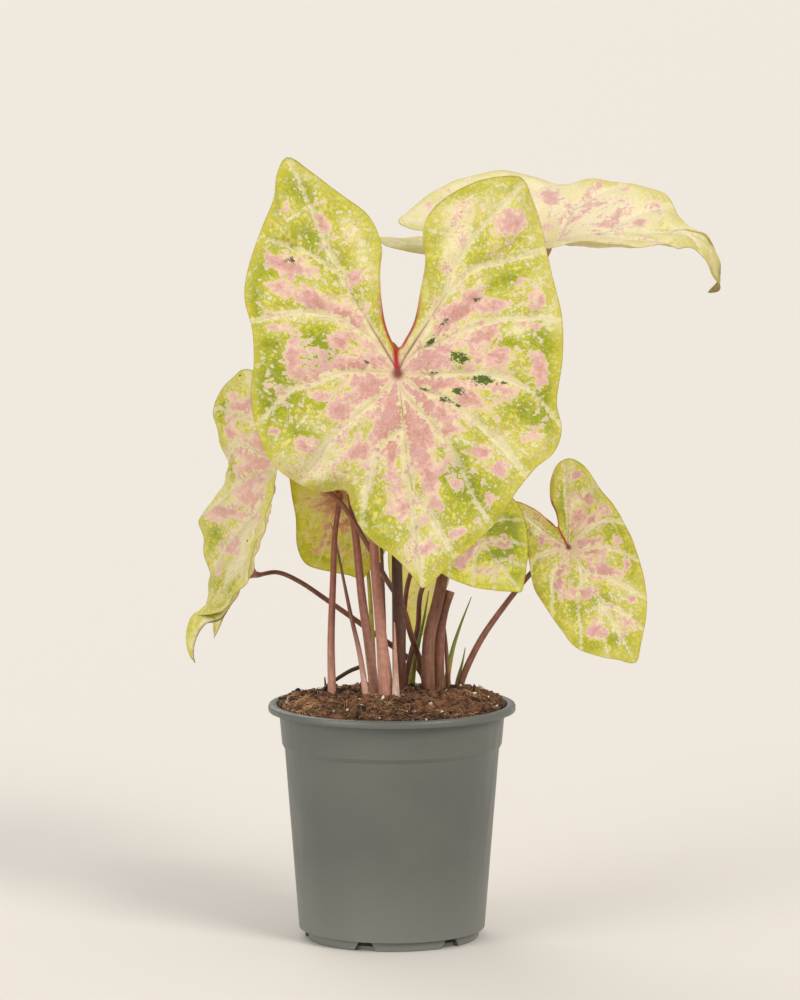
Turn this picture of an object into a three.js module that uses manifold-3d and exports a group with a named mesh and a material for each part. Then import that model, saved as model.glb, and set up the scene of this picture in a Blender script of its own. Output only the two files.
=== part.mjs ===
// Potted caladium: heart-shaped marbled leaves on red-brown stalks, in a plastic nursery pot.
// Millimetres, +Z up. The origin is the middle of the pot's flat underside, and the plant faces -Y.

import * as THREE from 'three';
import { mergeVertices } from 'three/addons/utils/BufferGeometryUtils.js';
import Module from 'manifold-3d';

// ---------------------------------------------------------------- driving dimensions

const pot = {
  height: 114.6,        // floor to the top of the lip
  lipRadius: 60,        // a 12 cm nursery pot
  lipHeight: 3.6,
  lipInside: 55.9,      // where the lip's top ends and the mix begins
  collarTop: 54.7,      // radius under the lip
  collarFoot: 53.4,
  collarLevel: 95.6,    // the collar ends here, in a rounded step
  bodyTop: 52,
  bodyFoot: 45.2,
  footRadius: 42.2,     // the recessed foot ring
  footHeight: 4.7,
  wall: 1.3,
  floor: 2,
  segments: 48,
};

const notch = { count: 6, firstAngle: -167.8, bottomWidth: 13, topWidth: 6, height: 4.6, depth: 6.5 };

const mix = {
  clearance: 0.35,      // between the mix and the pot, and round each stem
  dome: 4.2,            // rise from the rim to the middle
  burial: 100,          // level at which every stem's buried end stops
  mounds: [[40, 8, 4.5, 11], [-42, 10, 2.2, 9]],    // heaps near the rim: x, y, height, radius
  rings: 8,
};

const blade = { thickness: 0.8, seat: 0.35 };   // seat: gap between a stalk's top and its blade

// ---------------------------------------------------------------- finishes

const finish = (color, roughness) => new THREE.MeshStandardMaterial({ color, roughness, metalness: 0 });
const finishes = {
  pot: finish(0x5f6d6a, 0.5),
  mix: finish(0x5b3d29, 0.95),
  leaf: finish(0xc9d873, 0.55),
  paleLeaf: finish(0xdfe6a0, 0.55),
  stalk: finish(0x8a5650, 0.5),
  darkStalk: finish(0x5c3a36, 0.5),
  greenShoot: finish(0x8d9a3c, 0.5),
  sheath: finish(0xc79b8e, 0.6),
};

const group = new THREE.Group();

function addNode(name, geometry, material) {
  const mesh = new THREE.Mesh(geometry, material);
  mesh.name = name;
  group.add(mesh);
  return mesh;
}

// ---------------------------------------------------------------- joining and cutting

const wasm = await Module();
wasm.setup();

function toSolid(geometry) {
  const bare = geometry.clone();
  bare.deleteAttribute('normal');
  bare.deleteAttribute('uv');
  const merged = mergeVertices(bare, 1e-4);
  return new wasm.Manifold(new wasm.Mesh({
    numProp: 3,
    vertProperties: new Float32Array(merged.attributes.position.array),
    triVerts: new Uint32Array(merged.index.array),
  }));
}

function toGeometry(solid) {
  const mesh = solid.getMesh();
  const geometry = new THREE.BufferGeometry();
  geometry.setAttribute('position', new THREE.BufferAttribute(mesh.vertProperties, 3));
  geometry.setIndex(new THREE.BufferAttribute(mesh.triVerts, 1));
  return geometry;
}

function closedMesh(points, faces) {
  const geometry = new THREE.BufferGeometry();
  geometry.setAttribute('position', new THREE.Float32BufferAttribute(points.flat(), 3));
  geometry.setIndex(faces.flat());
  return geometry;
}

// ---------------------------------------------------------------- pot

function potGeometry() {
  const { height, lipRadius, lipHeight, lipInside, wall } = pot;
  const lipFoot = height - lipHeight;
  const profile = [
    [0, 0], [pot.footRadius - 0.6, 0], [pot.footRadius, 0.6], [pot.footRadius + 0.2, pot.footHeight],
    [pot.bodyFoot - 0.5, pot.footHeight], [pot.bodyFoot, pot.footHeight + 0.6],
    [pot.bodyTop, pot.collarLevel - 3], [pot.bodyTop + 0.5, pot.collarLevel - 2],
    [pot.collarFoot - 0.4, pot.collarLevel - 0.7], [pot.collarFoot, pot.collarLevel + 0.4],
    [pot.collarTop, lipFoot - 0.6], [pot.collarTop + 0.6, lipFoot], [lipRadius - 0.7, lipFoot],
    [lipRadius, lipFoot + 0.9], [lipRadius, height - 1.2], [lipRadius - 1, height - 0.2],
    [lipRadius - 2, height], [lipInside + 0.6, height], [lipInside, height - 0.6],
    [pot.collarTop - wall, height - 3.2], [pot.collarFoot - wall, pot.collarLevel],
    [pot.bodyTop - wall, pot.collarLevel - 2.4], [pot.bodyFoot - wall, pot.footHeight + wall + 1],
    [pot.footRadius - wall, pot.footHeight - 0.5], [pot.footRadius - wall, pot.floor], [0, pot.floor],
  ].map(([r, z]) => new THREE.Vector2(r, z));
  const lathe = new THREE.LatheGeometry(profile, pot.segments);
  lathe.rotateX(Math.PI / 2);
  return lathe;
}

function notchGeometry(angle) {
  const outline = new THREE.Shape([
    new THREE.Vector2(-notch.bottomWidth / 2, -1), new THREE.Vector2(notch.bottomWidth / 2, -1),
    new THREE.Vector2(notch.topWidth / 2, notch.height), new THREE.Vector2(-notch.topWidth / 2, notch.height),
  ]);
  const cutter = new THREE.ExtrudeGeometry(outline, { depth: notch.depth, bevelEnabled: false });
  cutter.rotateX(Math.PI / 2);
  cutter.translate(0, pot.bodyFoot + 0.5, 0);
  cutter.rotateZ(THREE.MathUtils.degToRad(angle - 90));
  return cutter;
}

function buildPot() {
  let body = toSolid(potGeometry());
  for (let i = 0; i < notch.count; i += 1) {
    body = body.subtract(toSolid(notchGeometry(notch.firstAngle + i * 360 / notch.count)));
  }
  addNode('nursery_pot', toGeometry(body), finishes.pot);
}

// ---------------------------------------------------------------- stems

// A round stem along a smooth curve, thick at its foot and thin at its top.
function stemGeometry({ path, foot, top, sides = 8, steps = 12 }, extra = 0) {
  const points = path.map((p) => new THREE.Vector3(...p));
  const [first, second] = points;
  const [beforeLast, last] = points.slice(-2);
  first.addScaledVector(first.clone().sub(second).normalize(), extra);
  last.addScaledVector(last.clone().sub(beforeLast).normalize(), extra);
  const curve = new THREE.CatmullRomCurve3(points, false, 'centripetal');
  const frames = curve.computeFrenetFrames(steps, false);
  const vertices = [];
  for (let i = 0; i <= steps; i += 1) {
    const centre = curve.getPointAt(i / steps);
    const radius = foot + (top - foot) * (i / steps) + extra;
    for (let j = 0; j < sides; j += 1) {
      const angle = 2 * Math.PI * j / sides;
      const p = centre.clone()
        .addScaledVector(frames.normals[i], radius * Math.cos(angle))
        .addScaledVector(frames.binormals[i], radius * Math.sin(angle));
      vertices.push(p.toArray());
    }
  }
  const faces = [];
  for (let i = 0; i < steps; i += 1) {
    for (let j = 0; j < sides; j += 1) {
      const a = i * sides + j;
      const b = i * sides + (j + 1) % sides;
      faces.push([a, b, b + sides], [a, b + sides, a + sides]);
    }
  }
  const end = steps * sides;
  for (let j = 1; j < sides - 1; j += 1) {
    faces.push([0, j + 1, j], [end, end + j, end + j + 1]);
  }
  return closedMesh(vertices, faces);
}

// A stem that is rooted in the mix: its path begins where it leaves the mix.
const rooted = (path) => [[path[0][0], path[0][1], mix.burial], ...path];

// ---------------------------------------------------------------- blades

const radians = THREE.MathUtils.degToRad;

// One half of a caladium's outline, from the notch to just before the tip: `half` is its half width,
// `lobe` how far its back lobe reaches, `spread` how far out that lobe's tip is, and `taper` draws
// out the leaf's tip.
function halfOutline({ half, lobe, spread }, length, sinus, taper, side) {
  const inner = lobe - sinus;
  return [
    [0.12 * spread, -sinus - 0.10 * inner], [0.30 * spread, -sinus - 0.36 * inner],
    [0.46 * spread, -sinus - 0.66 * inner], [0.68 * spread, -0.93 * lobe], [spread, -lobe],
    [spread + 0.42 * (half - spread), -0.88 * lobe], [spread + 0.78 * (half - spread), -0.58 * lobe],
    [0.97 * half, -0.24 * lobe], [half, 0.06 * length], [0.95 * half, 0.26 * length],
    [(0.80 - 0.04 * taper) * half, 0.47 * length], [(0.56 - 0.16 * taper) * half, 0.67 * length],
    [(0.30 - 0.15 * taper) * half, 0.84 * length], [(0.10 - 0.04 * taper) * half, 0.96 * length],
  ].map(([v, u]) => [side * v, u]);
}

function heart({ length, sinus, right, left = right, taper = 0 }) {
  return [
    [0, -sinus], ...halfOutline(right, length, sinus, taper, 1), [0, length],
    ...halfOutline(left, length, sinus, taper, -1).reverse(),
  ];
}

// Points along the closed outline: half of them up to the tip, half after it, each half evenly spaced.
function marginPoints(outline, count) {
  const perSpan = 12;
  const n = outline.length;
  const dense = [];
  for (let i = 0; i < n; i += 1) {
    const [a, b, c, d] = [-1, 0, 1, 2].map((k) => outline[(i + k + n) % n]);
    for (let k = 0; k < perSpan; k += 1) {
      const t = k / perSpan;
      dense.push([0, 1].map((m) => b[m] + 0.5 * t * (c[m] - a[m])
        + t * t * (a[m] - 2.5 * b[m] + 2 * c[m] - 0.5 * d[m])
        + t ** 3 * (-0.5 * a[m] + 1.5 * b[m] - 1.5 * c[m] + 0.5 * d[m])));
    }
  }
  dense.push(dense[0]);
  const tip = perSpan * outline.reduce((best, p, i) => (p[1] > outline[best][1] ? i : best), 0);
  const walked = [0];
  for (let i = 1; i < dense.length; i += 1) {
    walked.push(walked[i - 1] + Math.hypot(dense[i][0] - dense[i - 1][0], dense[i][1] - dense[i - 1][1]));
  }
  const half = count / 2;
  return Array.from({ length: count }, (_, j) => {
    const [from, to, k] = j < half ? [0, walked[tip], j] : [walked[tip], walked.at(-1), j - half];
    const want = from + (to - from) * k / half;
    let i = walked.findIndex((s) => s > want) - 1;
    if (i < 0) i = dense.length - 2;
    const f = (want - walked[i]) / (walked[i + 1] - walked[i]);
    return [0, 1].map((m) => dense[i][m] + f * (dense[i + 1][m] - dense[i][m]));
  });
}

// Curved rays from the stalk's seat to the margin. They leave the seat splayed away from the notch,
// so that they fill the back lobes without crossing the gap between them.
function bladeRays(margin) {
  const count = margin.length;
  const half = count / 2;
  const reach = margin.map(([v, u]) => Math.hypot(v, u));
  const heading = margin.map(([, u], j) => {
    const back = THREE.MathUtils.radToDeg(Math.acos(THREE.MathUtils.clamp(-u / reach[j], -1, 1)));
    const g = THREE.MathUtils.clamp((70 - back) / 50, 0, 1);
    return back + 30 * g * g * (3 - 2 * g) * (1 - Math.exp(-(reach[j] - reach[0]) / 12));
  });
  const leastStep = 0.8;
  for (let j = 1; j < half; j += 1) {
    heading[j] = Math.min(180, Math.max(heading[j], (j > 1 ? heading[j - 1] : 0) + leastStep));
  }
  for (let j = count - 1; j > half; j -= 1) {
    heading[j] = Math.min(180, Math.max(heading[j], (j < count - 1 ? heading[j + 1] : 0) + leastStep));
  }
  heading[0] = 0;
  heading[half] = 180;
  return margin.map((end, j) => {
    const side = j <= half ? 1 : -1;
    const a = radians(heading[j]);
    const pull = [0.5 * reach[j] * Math.sin(a) * side, -0.5 * reach[j] * Math.cos(a)];
    return (s) => [0, 1].map((m) => 2 * s * (1 - s) * pull[m] + s * s * end[m]);
  });
}

// Turns the part of a sheet that lies past a line through `at`, in the direction `toward` (degrees in
// the blade's plane), by `turn` degrees spread over `over` millimetres. Up is the leaf's upper side.
function bendSheet([v, u, n], [at, toward, turn, over, side = 0]) {
  if (side * v < 0) return [v, u, n];
  const c = Math.cos(radians(toward));
  const s = Math.sin(radians(toward));
  const d = (v - at[0]) * c + (u - at[1]) * s;
  if (d <= 0) return [v, u, n];
  const along = -(v - at[0]) * s + (u - at[1]) * c;
  const whole = radians(turn);
  const curve = whole / over;
  const a = curve * Math.min(d, over);
  const past = Math.max(d - over, 0);
  const across = Math.sin(a) / curve + past * Math.cos(whole) - n * Math.sin(a);
  const height = (1 - Math.cos(a)) / curve + past * Math.sin(whole) + n * Math.cos(a);
  return [at[0] + across * c - along * s, at[1] + across * s + along * c, height];
}

function bladeFrame({ tip, face }) {
  const t = new THREE.Vector3(...tip).normalize();
  const n = new THREE.Vector3(...face);
  n.addScaledVector(t, -n.dot(t)).normalize();
  const s = new THREE.Vector3().crossVectors(n, t);
  return { s, t, n };
}

function bladePoint(leaf, [v, u], ring, turn) {
  let rise = 0;
  for (const [height, centre, width] of leaf.bumps ?? []) {
    const away = ((turn - centre + 1.5) % 1) - 0.5;
    rise += height * ring ** 2.5 * Math.exp(-((away / width) ** 2));
  }
  const [depth, radius] = leaf.cup ?? [0, 1];
  rise -= depth * Math.exp(-((Math.hypot(v, u) / radius) ** 1.5));
  const [x, y, z] = (leaf.bends ?? []).reduce(bendSheet, [v, u, rise]);
  const { s, t, n } = bladeFrame(leaf);
  return new THREE.Vector3(...leaf.at).addScaledVector(s, x).addScaledVector(t, y).addScaledVector(n, z);
}

function bladeGeometry(leaf) {
  const { rays, rings } = leaf;
  const paths = bladeRays(marginPoints(leaf.outline, rays));
  const middle = [bladePoint(leaf, [0, 0], 0, 0)];
  for (let i = 1; i <= rings; i += 1) {
    paths.forEach((path, j) => middle.push(bladePoint(leaf, path(i / rings), i / rings, j / rays)));
  }
  const upper = [];
  const at = (i, j) => 1 + (i - 1) * rays + j % rays;
  for (let j = 0; j < rays; j += 1) {
    upper.push([0, at(1, j + 1), at(1, j)]);
    for (let i = 1; i < rings; i += 1) {
      upper.push([at(i, j), at(i, j + 1), at(i + 1, j + 1)], [at(i, j), at(i + 1, j + 1), at(i + 1, j)]);
    }
  }
  const sheet = closedMesh(middle.map((p) => p.toArray()), upper);
  sheet.computeVertexNormals();
  const normals = sheet.attributes.normal;
  const offset = (k) => middle.map((p, i) => p.clone()
    .addScaledVector(new THREE.Vector3().fromBufferAttribute(normals, i), k * blade.thickness / 2).toArray());
  const count = middle.length;
  const faces = [...upper, ...upper.map(([a, b, c]) => [a + count, c + count, b + count])];
  for (let j = 0; j < rays; j += 1) {
    const [a, b] = [at(rings, j), at(rings, j + 1)];
    faces.push([a, b, b + count], [a, b + count, a + count]);
  }
  return closedMesh([...offset(1), ...offset(-1)], faces);
}

// The stalk's last stretch turns square to the blade and stops just under it.
function stalkPath(leaf, path) {
  const seat = bladePoint(leaf, [0, 0], 0, 0);
  const { n } = bladeFrame(leaf);
  const approach = seat.clone().addScaledVector(n, -leaf.neck);
  const end = seat.clone().addScaledVector(n, -blade.thickness / 2 - blade.seat);
  return [...rooted(path), approach.toArray(), end.toArray()];
}

const frontOutline = [
  [1, -12], [6, -17], [11, -25], [15, -38], [19, -52], [19, -64], [23, -74], [33, -82.5], [47, -88],
  [60, -89.5], [70, -88], [74, -78], [77, -63], [79, -40], [81, -18], [79, 2], [74, 22], [75, 35],
  [70, 46], [60, 53], [50, 63], [40, 75], [28, 85], [16, 93], [6, 101], [0, 104], [-4, 98], [-12, 87],
  [-20, 80], [-26, 71], [-29, 60.5], [-31, 52], [-42, 51], [-53, 46.5], [-64, 37], [-70, 20], [-71, 2],
  [-68, -12], [-67, -28], [-69, -44], [-65, -60], [-57, -77], [-50, -90], [-47, -102], [-41, -109.5],
  [-31, -101], [-17, -88.5], [-5.5, -77], [-1, -62], [-3, -50], [-4, -36], [-3, -22],
];

const upperRightOutline = [
  [0, -9], [4, -25], [7, -41], [12.4, -59], [18, -68], [26, -74], [33.5, -71.5], [43, -59.5], [50, -46],
  [53.5, -30], [51.5, -12], [47, 7], [46, 21], [40, 41], [33.5, 56], [25.5, 62], [12, 65.5], [3.5, 71],
  [2, 81], [4, 95], [4.2, 109], [0, 130], [-4.4, 109], [-5.5, 93], [-8, 81], [-14.5, 71], [-23.5, 64.5],
  [-33, 56], [-38.5, 43], [-40.5, 25], [-38.5, 1], [-36.5, -31], [-32, -57], [-27, -71], [-18, -80],
  [-8, -80], [-3, -70], [-1.5, -53], [-1.2, -25],
];

const rightOutline = [
  [0, -11], [3, -18], [4, -25], [9, -33], [16, -38], [23, -37], [27, -30], [28, -16], [30, -2],
  [29, 12], [26, 26], [22, 38], [15, 49], [7, 58], [0, 65], [-8, 59], [-16, 52], [-22, 44], [-24, 35],
  [-25, 22], [-25, 8], [-20, -6], [-17, -18], [-17, -27], [-18, -34], [-11, -32], [-5, -24], [-2, -16],
];

const lowerLeftOutline = [
  [0, -8], [5, -16], [12, -26], [18, -25], [21.6, -7], [23, 5], [26.2, 18], [24, 28], [12.5, 35.4],
  [6, 38.8], [0.5, 42.5], [-5, 39.5], [-12, 35.5], [-18, 26], [-22, 8], [-22, -6], [-20, -19],
  [-14, -27], [-7, -21],
];

// Each leaf: where its stalk meets it, the way its tip and its upper face point, its outline and
// folds, and the course of its stalk from the mix up.
const leaves = {
  front: {
    at: [2.9, -22, 277.4], tip: [0.11, -0.22, -0.965], face: [0.02, -1, 0.2],
    outline: frontOutline, rays: 56, rings: 5, neck: 8, cup: [3, 9],
    bumps: [[-16, 0.60, 0.035], [-12, 0.20, 0.04]],
    stalk: { foot: 3.1, top: 1.7, path: [[3.4, 14, 122], [2.9, 9, 154], [2.4, 4, 185], [2.5, -1, 224],
      [2.8, -6, 258]] },
  },
  upper_right: {
    at: [75, 43.7, 338.4], tip: [1, -0.05, 0.03], face: [0, -0.45, 0.9],
    outline: upperRightOutline, rays: 52, rings: 5, neck: 7, cup: [5, 11],
    bumps: [[7, 0.70, 0.045], [-3, 0.27, 0.02]],
    bends: [[[0, 113], 90, -44, 10], [[0, 67], 110, -86, 16], [[0, -15], -90, -16, 50, 1],
      [[0, -15], -90, 4, 50, -1], [[0, 0], 0, 6, 6], [[0, 0], 180, 17, 6]],
    stalk: { foot: 3.2, top: 1.7, path: [[17.6, 16, 119], [18, 20, 142.5], [22.5, 26, 161.5],
      [26.5, 32, 180], [34.5, 40, 214], [47.5, 46, 257.5], [61.5, 48, 297], [69, 48, 317]] },
  },
  left: {
    at: [-58.7, 15, 231.5], tip: [-0.14, -0.1, -0.98], face: [-0.78, -0.5, 0.33],
    outline: heart({ length: 100, sinus: 12, right: { half: 38, lobe: 50, spread: 26 },
      left: { half: 50, lobe: 42, spread: 30 } }),
    rays: 44, rings: 5, neck: 6, cup: [3, 9],
    bumps: [[9, 0.835, 0.035], [-9, 0.755, 0.03], [6, 0.69, 0.02], [-3, 0.58, 0.03]],
    bends: [[[0, 73], 90, 46, 10], [[0, 88], 90, -72, 8], [[0, 12], 90, 22, 60], [[0, 0], 0, 30, 6]],
    stalk: { foot: 1.5, top: 1.1, path: [[15.7, 36, 123], [9.3, 26, 144], [4.9, 20, 159.5],
      [-3.4, 12, 174.5], [-12.6, 6.5, 192.3], [-25.7, 5.5, 212.6], [-42, 7.5, 224.5]] },
  },
  right: {
    at: [86.3, 24, 187.7], tip: [0.5, -0.15, -0.85], face: [0.1, -1, 0.3],
    outline: rightOutline, rays: 36, rings: 4, neck: 5, cup: [2, 7],
    stalk: { foot: 1.7, top: 1.1, path: [[33.6, 35, 118], [40.3, 36, 134.2], [49.2, 36, 149],
      [65.8, 34, 171], [76.5, 32, 181.5]] },
  },
  lower_right: {
    at: [37.8, 10, 198.8], tip: [0.62, -0.2, -0.75], face: [0.1, -0.85, 0.5],
    outline: heart({ length: 40, sinus: 8, right: { half: 27, lobe: 30, spread: 13 } }),
    rays: 28, rings: 4, neck: 5, cup: [2, 7],
    stalk: { foot: 1.4, top: 1, path: [[6.4, 34, 119], [9.8, 33, 135.6], [12.7, 32, 147.7], [14.2, 28, 165],
      [22, 22, 181]] },
  },
  lower_left: {
    at: [-26.2, 20.5, 213.2], tip: [0.28, 0.02, -0.96], face: [-0.15, 0.98, 0.05],
    outline: lowerLeftOutline, rays: 32, rings: 4, neck: 4, cup: [2, 7],
    stalk: { foot: 2, top: 1.2, path: [[-29.2, 8, 118], [-29.6, 9, 144], [-28.6, 11, 173],
      [-27.7, 12, 195]] },
  },
  inner_right: {
    at: [12, 30, 255], tip: [0.05, 0.1, -1], face: [0.1, 0.97, 0.2],
    outline: heart({ length: 46, sinus: 8, right: { half: 25, lobe: 34, spread: 12 } }),
    rays: 28, rings: 4, neck: 5, cup: [2, 7],
    stalk: { foot: 3.3, top: 1.5, path: [[-2.9, -3, 121], [-4.3, -5, 138.4], [-5.8, -5, 155.3],
      [-8.7, -2, 190.7], [-8, 6, 218], [2, 18, 244]] },
  },
  inner_left: {
    at: [-32, 34, 262], tip: [-0.2, 0.35, -0.87], face: [-0.3, 0.75, 0.45],
    outline: heart({ length: 40, sinus: 7, right: { half: 21, lobe: 30, spread: 11 } }),
    rays: 28, rings: 4, neck: 5, cup: [2, 7],
    stalk: { foot: 2.4, top: 1.3, path: [[-8.7, 5, 120], [-11.6, 7, 144], [-14.6, 9, 165], [-17.3, 11, 192],
      [-20, 10, 215], [-23, 10, 240], [-28, 20, 256]] },
  },
  pale: {
    at: [14.2, 47, 184], tip: [-0.05, 0.06, -0.95], face: [0, 1, 0.1],
    outline: heart({ length: 48, sinus: 7, right: { half: 16, lobe: 30, spread: 9 } }),
    rays: 28, rings: 4, neck: 4, cup: [1.5, 6],
    stalk: { foot: 1.5, top: 1, path: [[5.4, 28, 120], [5.4, 33, 140.6], [6.4, 37, 159], [9, 41, 172]] },
  },
  rear_left: {
    at: [-76, 36, 175.5], tip: [-0.32, -0.05, -0.95], face: [-0.9, -0.42, 0.2],
    outline: heart({ length: 36, sinus: 8, right: { half: 20, lobe: 34, spread: 12 },
      left: { half: 20, lobe: 30, spread: 12 } }),
    rays: 28, rings: 4, neck: 4, cup: [7, 12], bends: [[[0, 0], 0, 30, 6]],
    stalk: { foot: 1.5, top: 1.1, path: [[15.2, 46.5, 121], [6, 43.5, 131.6], [-12.7, 35, 146.4],
      [-31.2, 32, 160], [-45, 32, 169.4], [-56, 33, 174]] },
  },
};

// ---------------------------------------------------------------- young shoots and old stems

const shoots = {
  spear_brown: { foot: 2.1, top: 0.5, path: [[-12.8, -2, 119], [-15.5, 0, 138], [-20.3, 2, 159],
    [-27.1, 4, 192.4], [-29.5, 4, 201.6]], material: 'stalk' },
  spear_green: { foot: 1.5, top: 0.4, path: [[27, 40, 119], [29.5, 41, 133.5], [33.4, 42, 146],
    [39, 43, 160.5]], material: 'greenShoot' },
  spear_small: { foot: 1, top: 0.35, path: [[32, 38.5, 118], [34.6, 40, 128.5], [36, 41, 135.7]],
    material: 'greenShoot' },
  spear_rolled: { foot: 1.5, top: 0.4, path: [[9.8, 39, 121], [12.7, 38, 137], [15.7, 38, 150.6],
    [18.1, 38, 164.4]], material: 'greenShoot' },
  shoot_yellow: { foot: 1.3, top: 0.9, path: [[-8.8, 27, 122], [-10.3, 28, 156], [-12.2, 28, 180.8],
    [-13.7, 28, 195.5]], material: 'greenShoot' },
  shoot_olive: { foot: 1.6, top: 1.1, path: [[22.5, 37, 119], [23.5, 37, 140], [24, 38, 151]],
    material: 'greenShoot' },
  shoot_thin: { foot: 1.2, top: 0.8, path: [[27.6, 32, 119], [26.4, 33, 138], [25, 34, 151]],
    material: 'stalk' },
  shoot_rear: { foot: 1.1, top: 0.8, path: [[-3.4, 20, 122], [-3.9, 18.5, 153], [-4.9, 16.5, 183],
    [-5.6, 16, 197]],
    material: 'darkStalk' },
  sheath: { foot: 1.7, top: 0.4, path: [[1.9, -6.5, 121], [1.6, -7, 138.5], [1.2, -7, 155]],
    material: 'sheath' },
  cut_stub: { foot: 3, top: 2.4, path: [[22.6, 25, 120], [23, 27, 141.4], [25, 29, 155], [28.4, 31, 165]],
    material: 'stalk' },
  sprout: { foot: 0.8, top: 0.35, path: [[-32.2, 15, 117], [-32.8, 15, 125]], material: 'darkStalk' },
};

// The withered stem leaves the mix, lies over in a low arch and enters it again.
const witheredStem = { foot: 1.2, top: 1, sides: 6, steps: 14,
  path: [[-13, 17, 108], [-13.2, 16.5, 122], [-14.5, 16, 128.6], [-18, 15, 129], [-24.3, 14, 125.8],
    [-33, 12.2, 119.6], [-37, 11, 112.5]] };

function buildPlant() {
  const stems = [];
  for (const [name, leaf] of Object.entries(leaves)) {
    const stalk = { ...leaf.stalk, path: stalkPath(leaf, leaf.stalk.path) };
    const pale = name === 'pale';
    addNode(`blade_${name}`, bladeGeometry(leaf), pale ? finishes.paleLeaf : finishes.leaf);
    addNode(`stalk_${name}`, stemGeometry(stalk), name === 'front' ? finishes.darkStalk : finishes.stalk);
    stems.push(stalk);
  }
  for (const [name, { material, path, ...sizes }] of Object.entries(shoots)) {
    const shoot = { sides: 6, steps: 6, ...sizes, path: rooted(path) };
    addNode(name, stemGeometry(shoot), finishes[material]);
    stems.push(shoot);
  }
  addNode('withered_stem', stemGeometry(witheredStem), finishes.stalk);
  stems.push(witheredStem);
  return stems;
}

// ---------------------------------------------------------------- potting mix

// The mix's surface: a low dome with lumps and heaps.
function mixLevel(x, y) {
  const r = Math.hypot(x, y) / pot.lipInside;
  const lumps = 0.9 * Math.sin(0.31 * x + 1.2) * Math.cos(0.27 * y - 0.4)
    + 0.7 * Math.sin(0.53 * x - 0.47 * y + 2) + 0.5 * Math.cos(0.71 * x + 0.66 * y);
  const heaps = mix.mounds.map(([mx, my, height, radius]) =>
    height * Math.exp(-(((x - mx) ** 2 + (y - my) ** 2) / radius ** 2)));
  return pot.height - 1 + mix.dome * (1 - r * r) + lumps * (1 - r ** 4) + heaps.reduce((a, b) => a + b);
}

function mixGeometry() {
  const gap = mix.clearance;
  const top = pot.height - 1;
  const rim = pot.lipInside - 1;
  const sides = [
    [pot.collarTop - pot.wall - gap - 0.3, pot.height - 3.6],
    [pot.collarFoot - pot.wall - gap, pot.collarLevel + 0.3],
    [pot.bodyTop - pot.wall - gap, pot.collarLevel - 2.1],
    [pot.bodyFoot - pot.wall - gap - 0.2, pot.footHeight + pot.wall + 1.4],
    [pot.footRadius - pot.wall - gap, pot.footHeight - 0.2],
    [pot.footRadius - pot.wall - gap, pot.floor + gap],
  ];
  const n = pot.segments;
  const angle = (j) => 2 * Math.PI * j / n;
  const vertices = [[0, 0, mixLevel(0, 0)]];
  for (let i = 1; i <= mix.rings; i += 1) {
    for (let j = 0; j < n; j += 1) {
      const r = rim * i / mix.rings;
      const [x, y] = [r * Math.cos(angle(j)), r * Math.sin(angle(j))];
      vertices.push([x, y, i < mix.rings ? mixLevel(x, y) : top]);
    }
  }
  for (const [r, z] of sides) {
    for (let j = 0; j < n; j += 1) vertices.push([r * Math.cos(angle(j)), r * Math.sin(angle(j)), z]);
  }
  vertices.push([0, 0, pot.floor + gap]);
  const rows = mix.rings + sides.length;
  const at = (i, j) => 1 + (i - 1) * n + j % n;
  const faces = [];
  for (let j = 0; j < n; j += 1) {
    faces.push([0, at(1, j), at(1, j + 1)], [vertices.length - 1, at(rows, j + 1), at(rows, j)]);
    for (let i = 1; i < rows; i += 1) {
      faces.push([at(i, j), at(i + 1, j), at(i + 1, j + 1)], [at(i, j), at(i + 1, j + 1), at(i, j + 1)]);
    }
  }
  return closedMesh(vertices, faces);
}

function buildMix(stems) {
  let body = toSolid(mixGeometry());
  for (const stem of stems) body = body.subtract(toSolid(stemGeometry(stem, mix.clearance)));
  addNode('potting_mix', toGeometry(body), finishes.mix);
}

buildPot();
buildMix(buildPlant());

export default group;
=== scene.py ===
"""Looks of a potted caladium: marbled leaves on red-brown stalks, potting mix and a nursery pot.

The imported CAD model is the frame. Sizes of the plant are in millimetres here, as in its source, and
MM turns them to Blender's metres.
"""
import logging
import math
from dataclasses import dataclass, field
from enum import Enum
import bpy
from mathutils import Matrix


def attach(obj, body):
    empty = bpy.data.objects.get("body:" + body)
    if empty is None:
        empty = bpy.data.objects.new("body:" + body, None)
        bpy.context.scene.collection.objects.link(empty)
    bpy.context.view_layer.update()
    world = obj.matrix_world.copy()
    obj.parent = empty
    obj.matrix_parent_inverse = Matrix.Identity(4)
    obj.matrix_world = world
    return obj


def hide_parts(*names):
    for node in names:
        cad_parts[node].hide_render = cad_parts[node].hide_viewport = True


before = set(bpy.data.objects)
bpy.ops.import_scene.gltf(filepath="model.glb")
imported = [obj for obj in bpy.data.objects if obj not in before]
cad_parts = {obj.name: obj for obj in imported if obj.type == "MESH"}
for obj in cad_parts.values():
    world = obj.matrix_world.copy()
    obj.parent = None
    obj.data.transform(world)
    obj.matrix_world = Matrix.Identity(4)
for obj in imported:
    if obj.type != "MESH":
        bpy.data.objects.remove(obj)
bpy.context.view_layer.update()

from types import SimpleNamespace

import bpy
import numpy as np
from mathutils import Vector

MM = 0.001
ROOT = "root"

log = logging.getLogger("caladium")


# ---------------------------------------------------------------- small helpers

def linear(hex_colour: str) -> tuple[float, float, float, float]:
    """Turns an sRGB hex colour to the linear values that Blender's sockets take.

    Args:
        hex_colour: six hex digits.

    Returns:
        Linear red, green and blue, and a full alpha.
    """
    parts = [int(hex_colour[i:i + 2], 16) / 255 for i in (0, 2, 4)]
    return *(c / 12.92 if c <= 0.04045 else ((c + 0.055) / 1.055) ** 2.4 for c in parts), 1.0


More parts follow.
